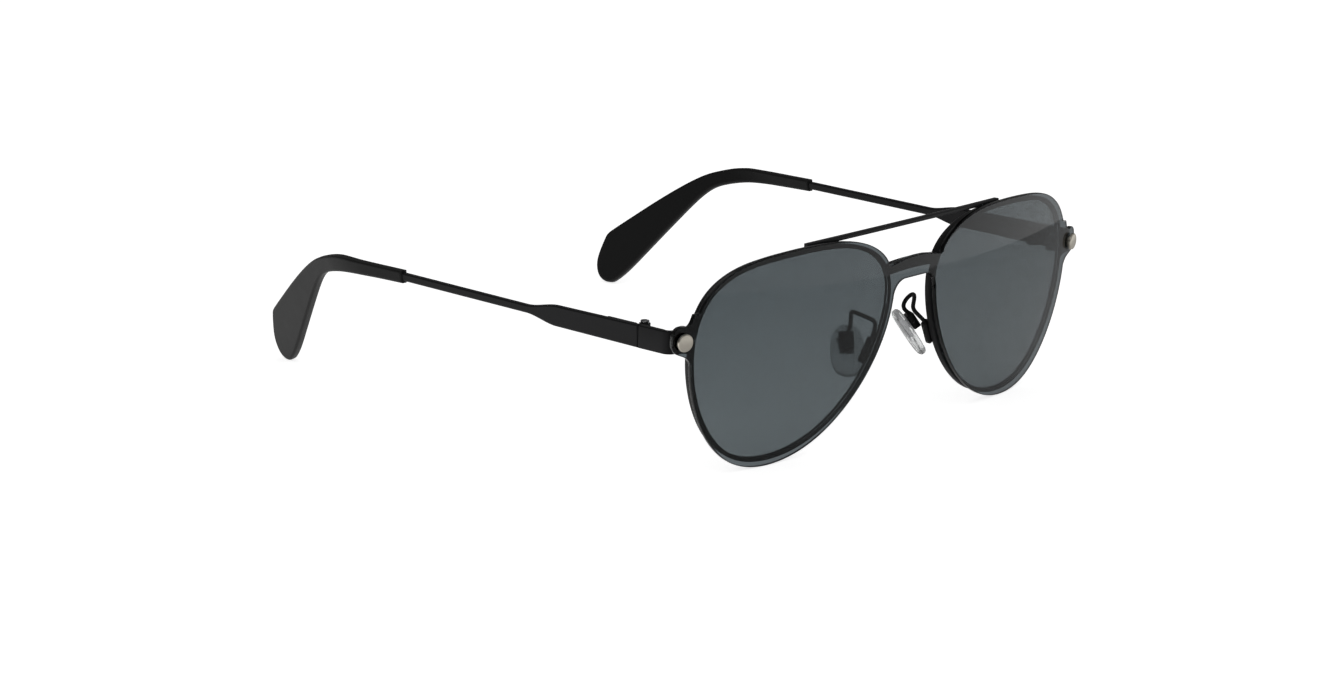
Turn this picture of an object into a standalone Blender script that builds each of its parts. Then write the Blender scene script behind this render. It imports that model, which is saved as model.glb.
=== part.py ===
"""Aviator eyeglasses with a one-piece tinted clip-on.

Metres, +Z up. The wearer looks along -Y, so the fronts of the lenses face -Y and the temples
run back along +Y. The wearer's left is +X. The frame stands on a table on the lower edge of the
clip and on its two temple tips. Every piece of the left side is modelled once and mirrored.
"""

import math

import bmesh
import bpy
from mathutils import Matrix, Vector

MM = 0.001

# Clearances
SEAT_GAP = 0.08 * MM
FIT_GAP = 0.1 * MM
CLIP_GAP = 0.3 * MM
OVERRUN = 1.0 * MM
WELD = 0.001 * MM

# Front: both lenses follow one curved face, foremost in the middle, a little above the studs
APEX_Y = -67.8 * MM
APEX_RISE = 9.0 * MM
FRONT_CURVE = 322.0 * MM
UPRIGHT_CURVE = 298.0 * MM
STUD_RISE = 7.6 * MM
FACE_GRID = 4.0 * MM

# Lens shapes, seen from the front, from the nose side round over the bottom to the top
TINT_SHARES = (
    (-0.98, 0.45), (-0.88, -0.02), (-0.69, -0.39), (-0.44, -0.69),
    (-0.14, -0.90), (0.22, -0.98), (0.55, -0.89), (0.80, -0.59),
    (0.95, -0.19), (1.00, 0.29), (0.88, 0.72), (0.57, 0.92),
    (0.22, 0.96), (-0.13, 0.98), (-0.51, 0.96), (-0.85, 0.79),
)
RIM_SHARES = (
    (-0.98, 0.45), (-0.89, -0.02), (-0.71, -0.40), (-0.46, -0.70),
    (-0.15, -0.91), (0.22, -0.98), (0.55, -0.89), (0.80, -0.59),
    (0.95, -0.19), (1.00, 0.29), (0.88, 0.72), (0.57, 0.92),
    (0.22, 0.96), (-0.13, 0.98), (-0.51, 0.96), (-0.85, 0.79),
)
LENS_STEPS = 4
ARCH_STEPS = 6

# Rims and the clear lenses in them
RIM_WIDTH = 58.0 * MM
RIM_HEIGHT = 44.9 * MM
RIM_SPACING = 14.8 * MM
RIM_WALL = 0.9 * MM
RIM_DEPTH = 1.6 * MM
RIM_EDGE = 0.25 * MM
GROOVE_WIDTH = 1.0 * MM
GROOVE_DEPTH = 0.4 * MM
LENS_THICKNESS = 0.8 * MM
RIM_SLIT = 0.2 * MM

# Tinted clip-on plate
TINT_SIDE_OVERLAP = 0.6 * MM
TINT_EDGE_OVERLAP = 0.75 * MM
TINT_THICKNESS = 1.1 * MM
TINT_FOOT_DROP = 0.3 * MM
WEB_TOP_DROP = 6.8 * MM
WEB_HALF_WIDTH = 9.6 * MM
WEB_SHARES = ((0.97, -0.75), (0.85, -0.86), (0.60, -0.42), (0.30, -0.10))
WEB_DROP = 1.1 * MM
NOSE_ARCH_DROP = 11.5 * MM
NOSE_ARCH_RADIUS = 3.8 * MM
EAR_OVERHANG = 5.5 * MM
EAR_LENGTH = 5.2 * MM
EAR_HEIGHT = 6.4 * MM
EAR_SHARES = (
    (0.04, -0.82), (0.18, -0.60), (0.50, -0.48), (0.86, -0.38), (1.02, -0.16), (1.02, 0.12),
    (0.94, 0.46), (0.60, 0.54), (0.30, 0.42), (0.12, 0.58), (0.00, 0.84),
)

# Stud that holds the clip, and the magnet behind it
STUD_DIAMETER = 3.8 * MM
STUD_LIFT = 0.4 * MM
STUD_HEAD = 0.65 * MM
STUD_EDGE = 0.18 * MM
STUD_SHANK = 2.4 * MM
MAGNET_DIAMETER = 3.0 * MM
MAGNET_THICKNESS = 0.7 * MM

# Bridge and brow bar
BRIDGE_TOP_DROP = 7.95 * MM
BRIDGE_DROP = 0.7 * MM
BRIDGE_HEIGHT = 2.3 * MM
BRIDGE_DEPTH = 1.5 * MM
BRIDGE_HALF_SPAN = 11.0 * MM
BAR_LIFT = 1.0 * MM
BAR_DROP = 0.55 * MM
BAR_HEIGHT = 0.9 * MM
BAR_DEPTH = 1.4 * MM
BAR_END = 2.5 * MM
BAR_FOOT_SETBACK = 1.0 * MM
BAR_FOOT_LENGTH = 6.3 * MM
BAR_FOOT_SINK = 1.65 * MM
SMALL_EDGE = 0.2 * MM

# End piece and temple
LUG_HEIGHT = 4.9 * MM
LUG_THICKNESS = 1.3 * MM
LUG_CORNER = 2.2 * MM
LUG_TURN = 80.0
LUG_REACH = 8.12 * MM
LUG_SINK = 1.2 * MM
LUG_FLARE_UP = 1.1 * MM
LUG_FLARE_DOWN = 1.3 * MM
TEMPLE_DROP = 0.35 * MM
TEMPLE_INSET = 0.4 * MM
TEMPLE_THICKNESS = 1.3 * MM
BUTT_GAP = 0.2 * MM
BLADE_HEIGHT = 4.9 * MM
BLADE_REAR_HEIGHT = 4.5 * MM
BLADE_LENGTH = 22.5 * MM
NECK_LENGTH = 8.8 * MM
WIRE_HEIGHT = 1.8 * MM
WIRE_LENGTH = 35.8 * MM
WIRE_RISE = 0.3 * MM
CORE_HEIGHT = 1.0 * MM
CORE_THICKNESS = 0.9 * MM
TEMPLE_EDGE = 0.35 * MM

# Temple tip: a straight sleeve, then a flat paddle that is bent down and inwards
SLEEVE_LENGTH = 16.0 * MM
SLEEVE_FRONT_HEIGHT = 2.8 * MM
SLEEVE_REAR_HEIGHT = 3.0 * MM
SLEEVE_CLEARANCE = 0.15 * MM
TIP_THICKNESS = 2.1 * MM
TIP_EDGE = 0.5 * MM
TIP_BEND_BEHIND = 7.6 * MM
TIP_BEND_DROP = 1.0 * MM
TIP_DOWN_ANGLE = 47.1
TIP_IN_ANGLE = 18.8
FOLD_AHEAD = 4.65 * MM
FOLD_HALF = 5.0 * MM
PADDLE_LENGTH = 44.3 * MM
PADDLE_WIDTH = 11.5 * MM
PADDLE_SHARES = (
    (-0.11, -0.08), (-0.03, 0.07), (0.04, 0.25), (0.10, 0.37), (0.18, 0.47), (0.31, 0.58),
    (0.47, 0.68), (0.63, 0.76), (0.79, 0.84), (0.81, 0.83), (0.88, 0.69), (0.95, 0.53),
    (0.99, 0.28), (0.985, 0.06), (0.95, -0.08), (0.93, -0.11), (0.84, -0.13), (0.69, -0.07),
    (0.54, -0.01), (0.38, 0.05), (0.23, 0.10), (0.13, 0.07), (0.06, -0.06), (-0.01, -0.22),
)
CORE_SHARES = ((-0.035, -0.06), (0.045, 0.10), (0.14, 0.21), (0.37, 0.29))

# Hinges
HINGE_INSET = 2.5 * MM
HINGE_BEHIND = 0.8 * MM
KNUCKLE_DIAMETER = 2.4 * MM
KNUCKLE_HEIGHT = 1.4 * MM
KNUCKLE_GAP = 0.1 * MM
LEAF_THICKNESS = 0.8 * MM
FRONT_LEAF_LENGTH = 5.5 * MM
REAR_LEAF_LENGTH = 8.0 * MM
LEAF_SETBACK = 1.0 * MM
KNUCKLE_ROOT = 0.7 * MM
HINGE_SCREW = 1.1 * MM
HINGE_SCREW_HEAD = 1.9 * MM
SCREW_HEAD_HEIGHT = 0.5 * MM
SCREW_SLOT = 0.3 * MM

# Rim locks: two small blocks and a screw close each split rim
LOCK_WIDTH = 2.6 * MM
LOCK_DEPTH = 2.2 * MM
LOCK_HEIGHT = 1.6 * MM
LOCK_SCREW = 0.9 * MM
LOCK_SCREW_HEAD = 1.5 * MM

# Nose pads on their arms
PAD_ARM_WIRE = 0.95 * MM
PAD_ARM_POINTS = (
    (-0.9, 1.8, -1.8), (-2.2, 2.3, -0.3), (-3.8, 3.0, 1.2), (-4.2, 3.7, 2.2),
    (-2.4, 4.7, 3.0), (-0.2, 6.0, 4.3), (-0.4, 7.1, 4.0), (-1.6, 8.0, 2.3),
    (-1.7, 8.0, 0.9), (-0.7, 7.6, 0.0), (0.3, 7.2, -0.8),
)
PAD_SOLDER_LENGTH = 6.0 * MM
PAD_SOLDER_WIDTH = 2.0 * MM
PAD_SOLDER_DEPTH = 1.5 * MM
PAD_SOLDER_SHIFT = 0.052 * MM
PAD_SOLDER_DROP = 3.6 * MM
PAD_SOLDER_LEAN = 30.0
PAD_BOX_SIDE = 0.6 * MM
PAD_BOX_BEHIND = 7.2 * MM
PAD_BOX_DROP = 2.15 * MM
PAD_BOX_WIDTH = 3.4 * MM
PAD_BOX_LENGTH = 3.6 * MM
PAD_BOX_DEPTH = 1.8 * MM
PAD_BOX_SHIFT = 0.2 * MM
PAD_BOX_BACK = 0.35 * MM
PAD_SLOT_WIDTH = 1.2 * MM
PAD_SLOT_LENGTH = 2.2 * MM
PAD_DOWN_DIRECTION = (0.41, -0.40, -0.82)
PAD_NOSE_DIRECTION = (-0.78, 0.60, 0.0)
PAD_LENGTH = 12.0 * MM
PAD_WIDTH = 7.8 * MM
PAD_THICKNESS = 1.8 * MM
PAD_EDGE = 0.7 * MM
PAD_BACK = 1.0 * MM
PAD_DROP = 1.75 * MM
PAD_SHARES = (
    (-1.00, -0.05), (-0.94, -0.55), (-0.60, -0.90), (0.00, -1.00), (0.60, -0.92), (0.96, -0.50),
    (1.02, 0.00), (0.94, 0.50), (0.56, 0.86), (0.00, 0.95), (-0.60, 0.86), (-0.94, 0.45),
)
INSERT_LENGTH = 5.0 * MM
INSERT_WIDTH = 3.2 * MM
INSERT_THICKNESS = 0.5 * MM
INSERT_SINK = 0.9 * MM
TONGUE_WIDTH = 1.0 * MM
TONGUE_LENGTH = 1.5 * MM
TONGUE_END = 0.63 * MM
PAD_SCREW = 0.6 * MM
PAD_SCREW_HEAD = 1.2 * MM

ROUND_STEPS = 24
SMALL_ROUND_STEPS = 16

# Places worked out from the sizes above
RIM_CENTRE_X = (RIM_SPACING + RIM_WIDTH) / 2
RIM_OUTER_X = RIM_CENTRE_X + RIM_WIDTH / 2
TINT_WIDTH = RIM_WIDTH + TINT_SIDE_OVERLAP
TINT_HEIGHT = RIM_HEIGHT + 2 * TINT_EDGE_OVERLAP
TINT_CENTRE_X = RIM_CENTRE_X + TINT_SIDE_OVERLAP / 2
WEB_TOP_RISE = TINT_HEIGHT / 2 - WEB_TOP_DROP
NOSE_ARCH_RISE = TINT_HEIGHT / 2 - NOSE_ARCH_DROP
EAR_REACH = RIM_OUTER_X + EAR_OVERHANG
STUD_X = EAR_REACH - EAR_LENGTH / 2
LOCK_X = RIM_OUTER_X
TEMPLE_X = EAR_REACH - TEMPLE_INSET
HINGE_X = TEMPLE_X - HINGE_INSET
BRIDGE_RISE = RIM_HEIGHT / 2 - BRIDGE_TOP_DROP
BAR_RISE = RIM_HEIGHT / 2 + BAR_LIFT
BAR_HALF_LENGTH = RIM_CENTRE_X - BAR_END
BAR_FOOT_OUTER = BAR_HALF_LENGTH - BAR_FOOT_SETBACK
BAR_FOOT_INNER = BAR_FOOT_OUTER - BAR_FOOT_LENGTH
LENS_CENTRE_Z = TINT_HEIGHT / 2 + TINT_FOOT_DROP
STUD_Z = LENS_CENTRE_Z + STUD_RISE
APEX_Z = STUD_Z + APEX_RISE
TEMPLE_Z = STUD_Z - TEMPLE_DROP
FRONT_END_Y = APEX_Y + STUD_X**2 / (2 * FRONT_CURVE) + APEX_RISE**2 / (2 * UPRIGHT_CURVE)
TEMPLE_FRONT_Y = FRONT_END_Y + LUG_REACH
HINGE_Y = TEMPLE_FRONT_Y + HINGE_BEHIND
BLADE_REAR_Y = TEMPLE_FRONT_Y + BLADE_LENGTH
WIRE_FRONT_Y = BLADE_REAR_Y + NECK_LENGTH
SLEEVE_FRONT_Y = WIRE_FRONT_Y + WIRE_LENGTH
TIP_BEND_Y = SLEEVE_FRONT_Y + SLEEVE_LENGTH + TIP_BEND_BEHIND
TEMPLE_INNER_X = TEMPLE_X - TEMPLE_THICKNESS / 2
TEMPLE_OUTER_X = TEMPLE_X + TEMPLE_THICKNESS / 2
TINT_DEPTH = -(RIM_DEPTH / 2 + CLIP_GAP + TINT_THICKNESS / 2)

PARTS = bpy.data.collections.new("clip_on_eyeglasses")
HELPERS = bpy.data.collections.new("guides")


def clear_scene():
    for obj in list(bpy.data.objects):
        bpy.data.objects.remove(obj, do_unlink=True)
    bpy.context.scene.collection.children.link(PARTS)
    bpy.context.scene.collection.children.link(HELPERS)


def front_depth(x, z):
    """Y of the middle of the rims at this place on the front."""
    return APEX_Y + x * x / (2 * FRONT_CURVE) + (z - APEX_Z) ** 2 / (2 * UPRIGHT_CURVE)


def front_back(x, z):
    """The direction square to the front there, towards the wearer."""
    return Vector((-x / FRONT_CURVE, 1, -(z - APEX_Z) / UPRIGHT_CURVE)).normalized()


def seat_on_front(x, z, depth, lean=0.0):
    """A frame on the front face at (x, z): its Z is forward along the normal, its Y is up."""
    back = front_back(x, z)
    right = Vector((0, 0, 1)).cross(-back).normalized()
    up = (-back).cross(right)
    turn = Matrix((right, up, -back)).transposed().to_4x4()
    place = Vector((x, front_depth(x, z), z)) + back * depth
    return Matrix.Translation(place) @ turn @ Matrix.Rotation(lean, 4, "Z")


def smooth_points(corners, steps, closed=True):
    """Points of a uniform cubic B-spline through the middle of these corners."""
    if not closed:
        corners = [corners[0]] * 2 + list(corners) + [corners[-1]] * 2
    count = len(corners)
    spans = range(count) if closed else range(1, count - 2)
    points = []
    for i in spans:
        a, b, c, d = (Vector(corners[(i + k) % count]) for k in (-1, 0, 1, 2))
        for step in range(steps):
            t = step / steps
            points.append(
                ((1 - t) ** 3 * a + (3 * t**3 - 6 * t**2 + 4) * b
                 + (3 * t + 3 * t**2 - 3 * t**3 + 1) * c + t**3 * d) / 6
            )
    if not closed:
        points.append(Vector(corners[-1]))
    return points


def lens_outline(shares, centre_x, width, height, inset=0.0):
    """A lens shape fitted to this box, then moved inwards by inset."""
    loop = smooth_points(shares, LENS_STEPS)
    low = Vector((min(p.x for p in loop), min(p.y for p in loop)))
    high = Vector((max(p.x for p in loop), max(p.y for p in loop)))
    middle = (low + high) / 2
    size = high - low
    loop = [
        Vector((centre_x + (p.x - middle.x) / size.x * width,
                LENS_CENTRE_Z + (p.y - middle.y) / size.y * height))
        for p in loop
    ]
    return inset_loop(loop, inset)


def inset_loop(loop, inset):
    """Moves each point of an anticlockwise loop towards its inside."""
    moved = []
    for i, point in enumerate(loop):
        along = (loop[(i + 1) % len(loop)] - loop[i - 1]).normalized()
        moved.append(point + Vector((-along.y, along.x)) * inset)
    return moved


def arc(centre, radius, start, end, steps):
    """Points of an arc about centre, from one angle to another in degrees."""
    angles = [math.radians(start + (end - start) * i / steps) for i in range(steps + 1)]
    return [Vector((centre[0] + radius * math.cos(a), centre[1] + radius * math.sin(a))) for a in angles]


def link(obj, collection=HELPERS):
    collection.objects.link(obj)
    if collection is HELPERS:
        obj.hide_render = True
        obj.display_type = "WIRE"
    return obj


def bake(obj):
    """Turns an object with its modifiers into a plain mesh at the origin, caps welded."""
    bpy.context.view_layer.update()
    graph = bpy.context.evaluated_depsgraph_get()
    mesh = bpy.data.meshes.new_from_object(obj.evaluated_get(graph))
    mesh.transform(obj.matrix_world)
    name = obj.name
    bpy.data.objects.remove(obj, do_unlink=True)
    work = bmesh.new()
    work.from_mesh(mesh)
    bmesh.ops.remove_doubles(work, verts=work.verts, dist=WELD)
    bmesh.ops.recalc_face_normals(work, faces=work.faces)
    work.to_mesh(mesh)
    work.free()
    return link(bpy.data.objects.new(name, mesh))


def flat_solid(name, loops, thickness, depth=0.0):
    """A plate cut to these (x, z) loops, with its middle at y = depth."""
    curve = bpy.data.curves.new(name, "CURVE")
    curve.dimensions = "2D"
    curve.fill_mode = "BOTH"
    curve.extrude = thickness / 2
    for loop in loops:
        spline = curve.splines.new("POLY")
        spline.points.add(len(loop) - 1)
        spline.use_cyclic_u = True
        for point, place in zip(spline.points, loop):
            point.co = (place[0], place[1], 0, 1)
    obj = link(bpy.data.objects.new(name, curve))
    obj.matrix_world = Matrix.Translation((0, depth, 0)) @ Matrix.Rotation(math.radians(90), 4, "X")
    return bake(obj)


def side_solid(name, loop, thickness, x):
    """A plate cut to this (y, z) loop, with its middle at this x."""
    obj = flat_solid(name, [loop], thickness)
    obj.data.transform(Matrix.Translation((x, 0, 0)) @ Matrix.Rotation(math.radians(90), 4, "Z"))
    return obj


def plan_solid(name, loop, height, z):
    """A plate cut to this (x, y) loop, with its middle at this z."""
    obj = flat_solid(name, [loop], height)
    obj.data.transform(Matrix.Translation((0, 0, z)) @ Matrix.Rotation(math.radians(-90), 4, "X"))
    return obj


def box(name, size, place=None):
    mesh = bpy.data.meshes.new(name)
    work = bmesh.new()
    bmesh.ops.create_cube(work, size=1)
    bmesh.ops.scale(work, vec=size, verts=work.verts)
    work.to_mesh(mesh)
    work.free()
    mesh.transform(place or Matrix.Identity(4))
    return link(bpy.data.objects.new(name, mesh))


def cylinder(name, diameter, height, place, steps=ROUND_STEPS):
    """A cylinder along the local Z of place, its middle there."""
    mesh = bpy.data.meshes.new(name)
    work = bmesh.new()
    bmesh.ops.create_cone(
        work, cap_ends=True, segments=steps, radius1=diameter / 2, radius2=diameter / 2, depth=height
    )
    work.to_mesh(mesh)
    work.free()
    mesh.transform(place)
    return link(bpy.data.objects.new(name, mesh))


def turned(name, profile, place, steps=ROUND_STEPS):
    """A turned piece: profile holds (radius, height) from the top centre down the outside."""
    mesh = bpy.data.meshes.new(name)
    mesh.from_pydata(
        [(radius, 0, height) for radius, height in profile],
        [(i, i + 1) for i in range(len(profile) - 1)],
        [],
    )
    obj = link(bpy.data.objects.new(name, mesh))
    screw = obj.modifiers.new("turn", "SCREW")
    screw.steps = screw.render_steps = steps
    screw.use_merge_vertices = True
    screw.merge_threshold = WELD
    obj.matrix_world = place
    return bake(obj)


def wire(name, points, diameter):
    """A round wire along these points."""
    curve = bpy.data.curves.new(name, "CURVE")
    curve.dimensions = "3D"
    curve.bevel_depth = diameter / 2
    curve.bevel_resolution = 2
    curve.use_fill_caps = True
    spline = curve.splines.new("POLY")
    spline.points.add(len(points) - 1)
    for point, place in zip(spline.points, points):
        point.co = (*place, 1)
    return bake(link(bpy.data.objects.new(name, curve)))


def combine(obj, other, operation="DIFFERENCE"):
    """Applies a Boolean of obj with other and removes other."""
    cut = obj.modifiers.new("cut", "BOOLEAN")
    cut.operation = operation
    cut.solver = "EXACT"
    cut.object = other
    result = bake(obj)
    bpy.data.objects.remove(other, do_unlink=True)
    return result


def round_edges(obj, width, segments=2, angle=40):
    edge = obj.modifiers.new("edge", "BEVEL")
    edge.width = width
    edge.segments = segments
    edge.limit_method = "ANGLE"
    edge.angle_limit = math.radians(angle)
    return bake(obj)


def form_to_front(obj):
    """Bends a flat piece to the curve of the front, its thickness square to it."""
    for vertex in obj.data.vertices:
        x, depth, z = vertex.co
        vertex.co = Vector((x, front_depth(x, z), z)) + front_back(x, z) * depth
    return obj


def gridded_sheet(name, prism, half_width, thickness, depth):
    """A flat sheet divided into a grid, so that it can be formed, cut to a prism."""
    columns = round(2 * half_width / FACE_GRID)
    rows = round(TINT_HEIGHT / FACE_GRID) + 1
    height = rows * FACE_GRID
    mesh = bpy.data.meshes.new(name)
    work = bmesh.new()
    bmesh.ops.create_grid(work, x_segments=columns, y_segments=rows, size=1)
    bmesh.ops.scale(work, vec=(half_width, height / 2, 1), verts=work.verts)
    work.to_mesh(mesh)
    work.free()
    sheet = link(bpy.data.objects.new(name, mesh))
    wall = sheet.modifiers.new("wall", "SOLIDIFY")
    wall.thickness = thickness
    wall.offset = 0
    sheet.matrix_world = (
        Matrix.Translation((0, depth, LENS_CENTRE_Z)) @ Matrix.Rotation(math.radians(90), 4, "X")
    )
    return combine(bake(sheet), prism, "INTERSECT")


def material(name, colour, roughness, metallic=0.0, alpha=1.0, transmission=0.0):
    made = bpy.data.materials.new(name)
    made.use_nodes = True
    shader = made.node_tree.nodes["Principled BSDF"]
    shader.inputs["Base Color"].default_value = (*colour, 1)
    shader.inputs["Roughness"].default_value = roughness
    shader.inputs["Metallic"].default_value = metallic
    shader.inputs["Alpha"].default_value = alpha
    shader.inputs["Transmission Weight"].default_value = transmission
    made.diffuse_color = (*colour, alpha)
    return made


def finish(name, obj, finish_material, hanger=None, smooth=35):
    """Moves a finished solid to the parts, with its material and its origin on its hanger."""
    HELPERS.objects.unlink(obj)
    PARTS.objects.link(obj)
    obj.hide_render = False
    obj.display_type = "TEXTURED"
    obj.name = name
    obj.data.name = name
    obj.data.materials.clear()
    obj.data.materials.append(finish_material)
    obj.data.shade_smooth()
    obj.data.set_sharp_from_angle(angle=math.radians(smooth))
    if hanger:
        obj.data.transform(Matrix.Translation(-hanger.location))
        obj.parent = hanger
    return obj


def both_sides(name, obj, make_material, hangers=None):
    """Finishes the left piece and a mirrored copy for the right, each with its own material."""
    mirror = obj.data.copy()
    mirror.transform(Matrix.Scale(-1, 4, (1, 0, 0)))
    mirror.flip_normals()
    right = link(bpy.data.objects.new("mirror", mirror))
    left_hanger, right_hanger = hangers or (None, None)
    finish("left_" + name, obj, make_material("left_" + name), left_hanger)
    finish("right_" + name, right, make_material("right_" + name), right_hanger)


def empty(name, place):
    obj = bpy.data.objects.new(name, None)
    obj.location = place
    obj.empty_display_size = STUD_DIAMETER
    PARTS.objects.link(obj)
    return obj


def empty_pair(name, place):
    return empty("left_" + name, place), empty("right_" + name, (-place[0], place[1], place[2]))


def black_metal(name):
    return material(name, (0.012, 0.012, 0.013), 0.42, 0.6)


def black_acetate(name):
    return material(name, (0.016, 0.016, 0.017), 0.5)


def bright_metal(name):
    return material(name, (0.62, 0.58, 0.50), 0.25, 1.0)


def clear_lens(name):
    return material(name, (0.95, 0.96, 0.97), 0.05, alpha=0.3, transmission=0.9)


def clear_silicone(name):
    return material(name, (0.85, 0.86, 0.87), 0.3, transmission=0.5)


def smoke_tint(name):
    return material(name, (0.08, 0.09, 0.10), 0.05, alpha=0.7, transmission=0.5)


def rim_clearance():
    """A flat prism a seat gap larger than a rim, and its mirror, for pieces that meet the rims."""
    left = lens_outline(RIM_SHARES, RIM_CENTRE_X, RIM_WIDTH, RIM_HEIGHT, -SEAT_GAP)
    right = [Vector((-p.x, p.y)) for p in reversed(left)]
    return flat_solid("rim_clearance", [left, right], RIM_DEPTH * 4)


def rim_section():
    """Half of the rim's section is mirrored: (out from the middle, depth), with its lens groove."""
    half_wall = RIM_WALL / 2
    half_depth = RIM_DEPTH / 2
    groove_floor = GROOVE_DEPTH - half_wall
    half = [
        (groove_floor, GROOVE_WIDTH / 2 - FIT_GAP),
        (-half_wall, GROOVE_WIDTH / 2),
        (-half_wall, half_depth - FIT_GAP),
        (FIT_GAP - half_wall, half_depth),
        (half_wall - RIM_EDGE, half_depth),
        (half_wall, half_depth - RIM_EDGE),
    ]
    return half + [(out, -depth) for out, depth in reversed(half)]


def make_rims():
    """Each rim is a grooved wire swept round its lens, formed to the front and slit at its lock."""
    section = bpy.data.curves.new("rim_section", "CURVE")
    section.dimensions = "2D"
    line = section.splines.new("POLY")
    points = rim_section()
    line.points.add(len(points) - 1)
    line.use_cyclic_u = True
    for point, (out, depth) in zip(line.points, points):
        point.co = (-out, depth, 0, 1)
    section_object = link(bpy.data.objects.new("rim_section", section))
    path = bpy.data.curves.new("rim_path", "CURVE")
    path.dimensions = "2D"
    path.fill_mode = "NONE"
    path.bevel_mode = "OBJECT"
    path.bevel_object = section_object
    loop = lens_outline(RIM_SHARES, RIM_CENTRE_X, RIM_WIDTH, RIM_HEIGHT, RIM_WALL / 2)
    spline = path.splines.new("POLY")
    spline.points.add(len(loop) - 1)
    spline.use_cyclic_u = True
    for point, place in zip(spline.points, loop):
        point.co = (place.x, place.y, 0, 1)
    rim = link(bpy.data.objects.new("rim", path))
    rim.matrix_world = Matrix.Rotation(math.radians(90), 4, "X")
    rim = bake(rim)
    bpy.data.objects.remove(section_object, do_unlink=True)
    slit = box("slit", (2 * LOCK_WIDTH, 2 * RIM_DEPTH, RIM_SLIT),
               Matrix.Translation((RIM_CENTRE_X + RIM_WIDTH / 2, 0, TEMPLE_Z)))
    rim = combine(rim, slit)
    both_sides("rim", form_to_front(rim), black_metal)


def make_clear_lenses():
    loop = lens_outline(RIM_SHARES, RIM_CENTRE_X, RIM_WIDTH, RIM_HEIGHT, RIM_WALL - GROOVE_DEPTH + FIT_GAP)
    prism = flat_solid("lens_prism", [loop], 2 * RIM_DEPTH)
    lens = gridded_sheet("lens", prism, EAR_REACH, LENS_THICKNESS, 0.0)
    both_sides("demo_lens", form_to_front(lens), clear_lens)


def half_tint_outline():
    """The tinted sheet's outline on the left, from the nose arch round the lens to the web's top."""
    lobe = lens_outline(TINT_SHARES, TINT_CENTRE_X, TINT_WIDTH, TINT_HEIGHT)
    root = EAR_REACH - EAR_LENGTH
    ear = [
        Vector((root + along * EAR_LENGTH, STUD_Z + rise * EAR_HEIGHT)) for along, rise in EAR_SHARES
    ]
    top = LENS_CENTRE_Z + WEB_TOP_RISE
    web = [Vector((share * WEB_HALF_WIDTH, top + drop * WEB_DROP)) for share, drop in WEB_SHARES]
    nose = TINT_CENTRE_X - TINT_WIDTH / 2
    corner_z = LENS_CENTRE_Z + NOSE_ARCH_RISE - NOSE_ARCH_RADIUS
    arch = arc((nose - NOSE_ARCH_RADIUS, corner_z), NOSE_ARCH_RADIUS, 90, 0, ARCH_STEPS)
    under_ear = [p for p in lobe if p.y < ear[0].y and (p.x > TINT_CENTRE_X or p.y < corner_z)]
    over_ear = [p for p in lobe if p.y > top or (p.x > TINT_CENTRE_X and p.y > ear[-1].y)]
    return arch + under_ear + smooth_points(ear, 2, closed=False) + over_ear + web


def make_tinted_plate():
    """Both tinted lenses, the web over the nose and the two ears are one sheet."""
    left = half_tint_outline()
    crown = [Vector((0, LENS_CENTRE_Z + WEB_TOP_RISE))]
    right = [Vector((-p.x, p.y)) for p in reversed(left)]
    prism = flat_solid("tint_prism", [left + crown + right], RIM_DEPTH * 4)
    half = EAR_REACH + OVERRUN
    plate = gridded_sheet("plate", prism, half, TINT_THICKNESS, TINT_DEPTH)
    form_to_front(plate)
    for side in (1, -1):
        place = seat_on_front(side * STUD_X, STUD_Z, TINT_DEPTH)
        plate = combine(plate, cylinder("hole", STUD_SHANK + 2 * FIT_GAP, 3 * TINT_THICKNESS, place))
    finish("tinted_clip_plate", plate, smoke_tint("tinted_clip_plate"))


def make_studs():
    """Turned studs: a low head in front of the ear and a shank through it."""
    radius = STUD_DIAMETER / 2
    under = TINT_THICKNESS / 2 + STUD_LIFT
    profile = [
        (0, under + STUD_HEAD),
        (radius - STUD_EDGE * 2, under + STUD_HEAD - STUD_EDGE / 3),
        (radius - STUD_EDGE / 3, under + STUD_HEAD - STUD_EDGE),
        (radius, under + STUD_HEAD - STUD_EDGE * 2),
        (radius, under),
        (STUD_SHANK / 2, under),
        (STUD_SHANK / 2, -TINT_THICKNESS / 2),
        (0, -TINT_THICKNESS / 2),
    ]
    stud = turned("stud", profile, seat_on_front(STUD_X, STUD_Z, TINT_DEPTH))
    both_sides("clip_stud", stud, bright_metal)


def make_magnets():
    depth = MAGNET_THICKNESS / 2 + SEAT_GAP - RIM_DEPTH / 2
    magnet = cylinder("magnet", MAGNET_DIAMETER, MAGNET_THICKNESS, seat_on_front(STUD_X, STUD_Z, depth))
    both_sides("end_magnet", magnet, bright_metal)


def make_bridge():
    z = LENS_CENTRE_Z + BRIDGE_RISE
    across = [BRIDGE_HALF_SPAN * share / LENS_STEPS for share in range(-LENS_STEPS, LENS_STEPS + 1)]
    middle = [(x, z - BRIDGE_DROP * (x / BRIDGE_HALF_SPAN) ** 2) for x in across]
    top = [Vector((x, y + BRIDGE_HEIGHT / 2)) for x, y in reversed(middle)]
    bottom = [Vector((x, y - BRIDGE_HEIGHT / 2)) for x, y in middle]
    bridge = round_edges(flat_solid("bridge", [top + bottom], BRIDGE_DEPTH), SMALL_EDGE)
    bridge = combine(bridge, rim_clearance())
    finish("bridge", form_to_front(bridge), black_metal("bridge"))


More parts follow.
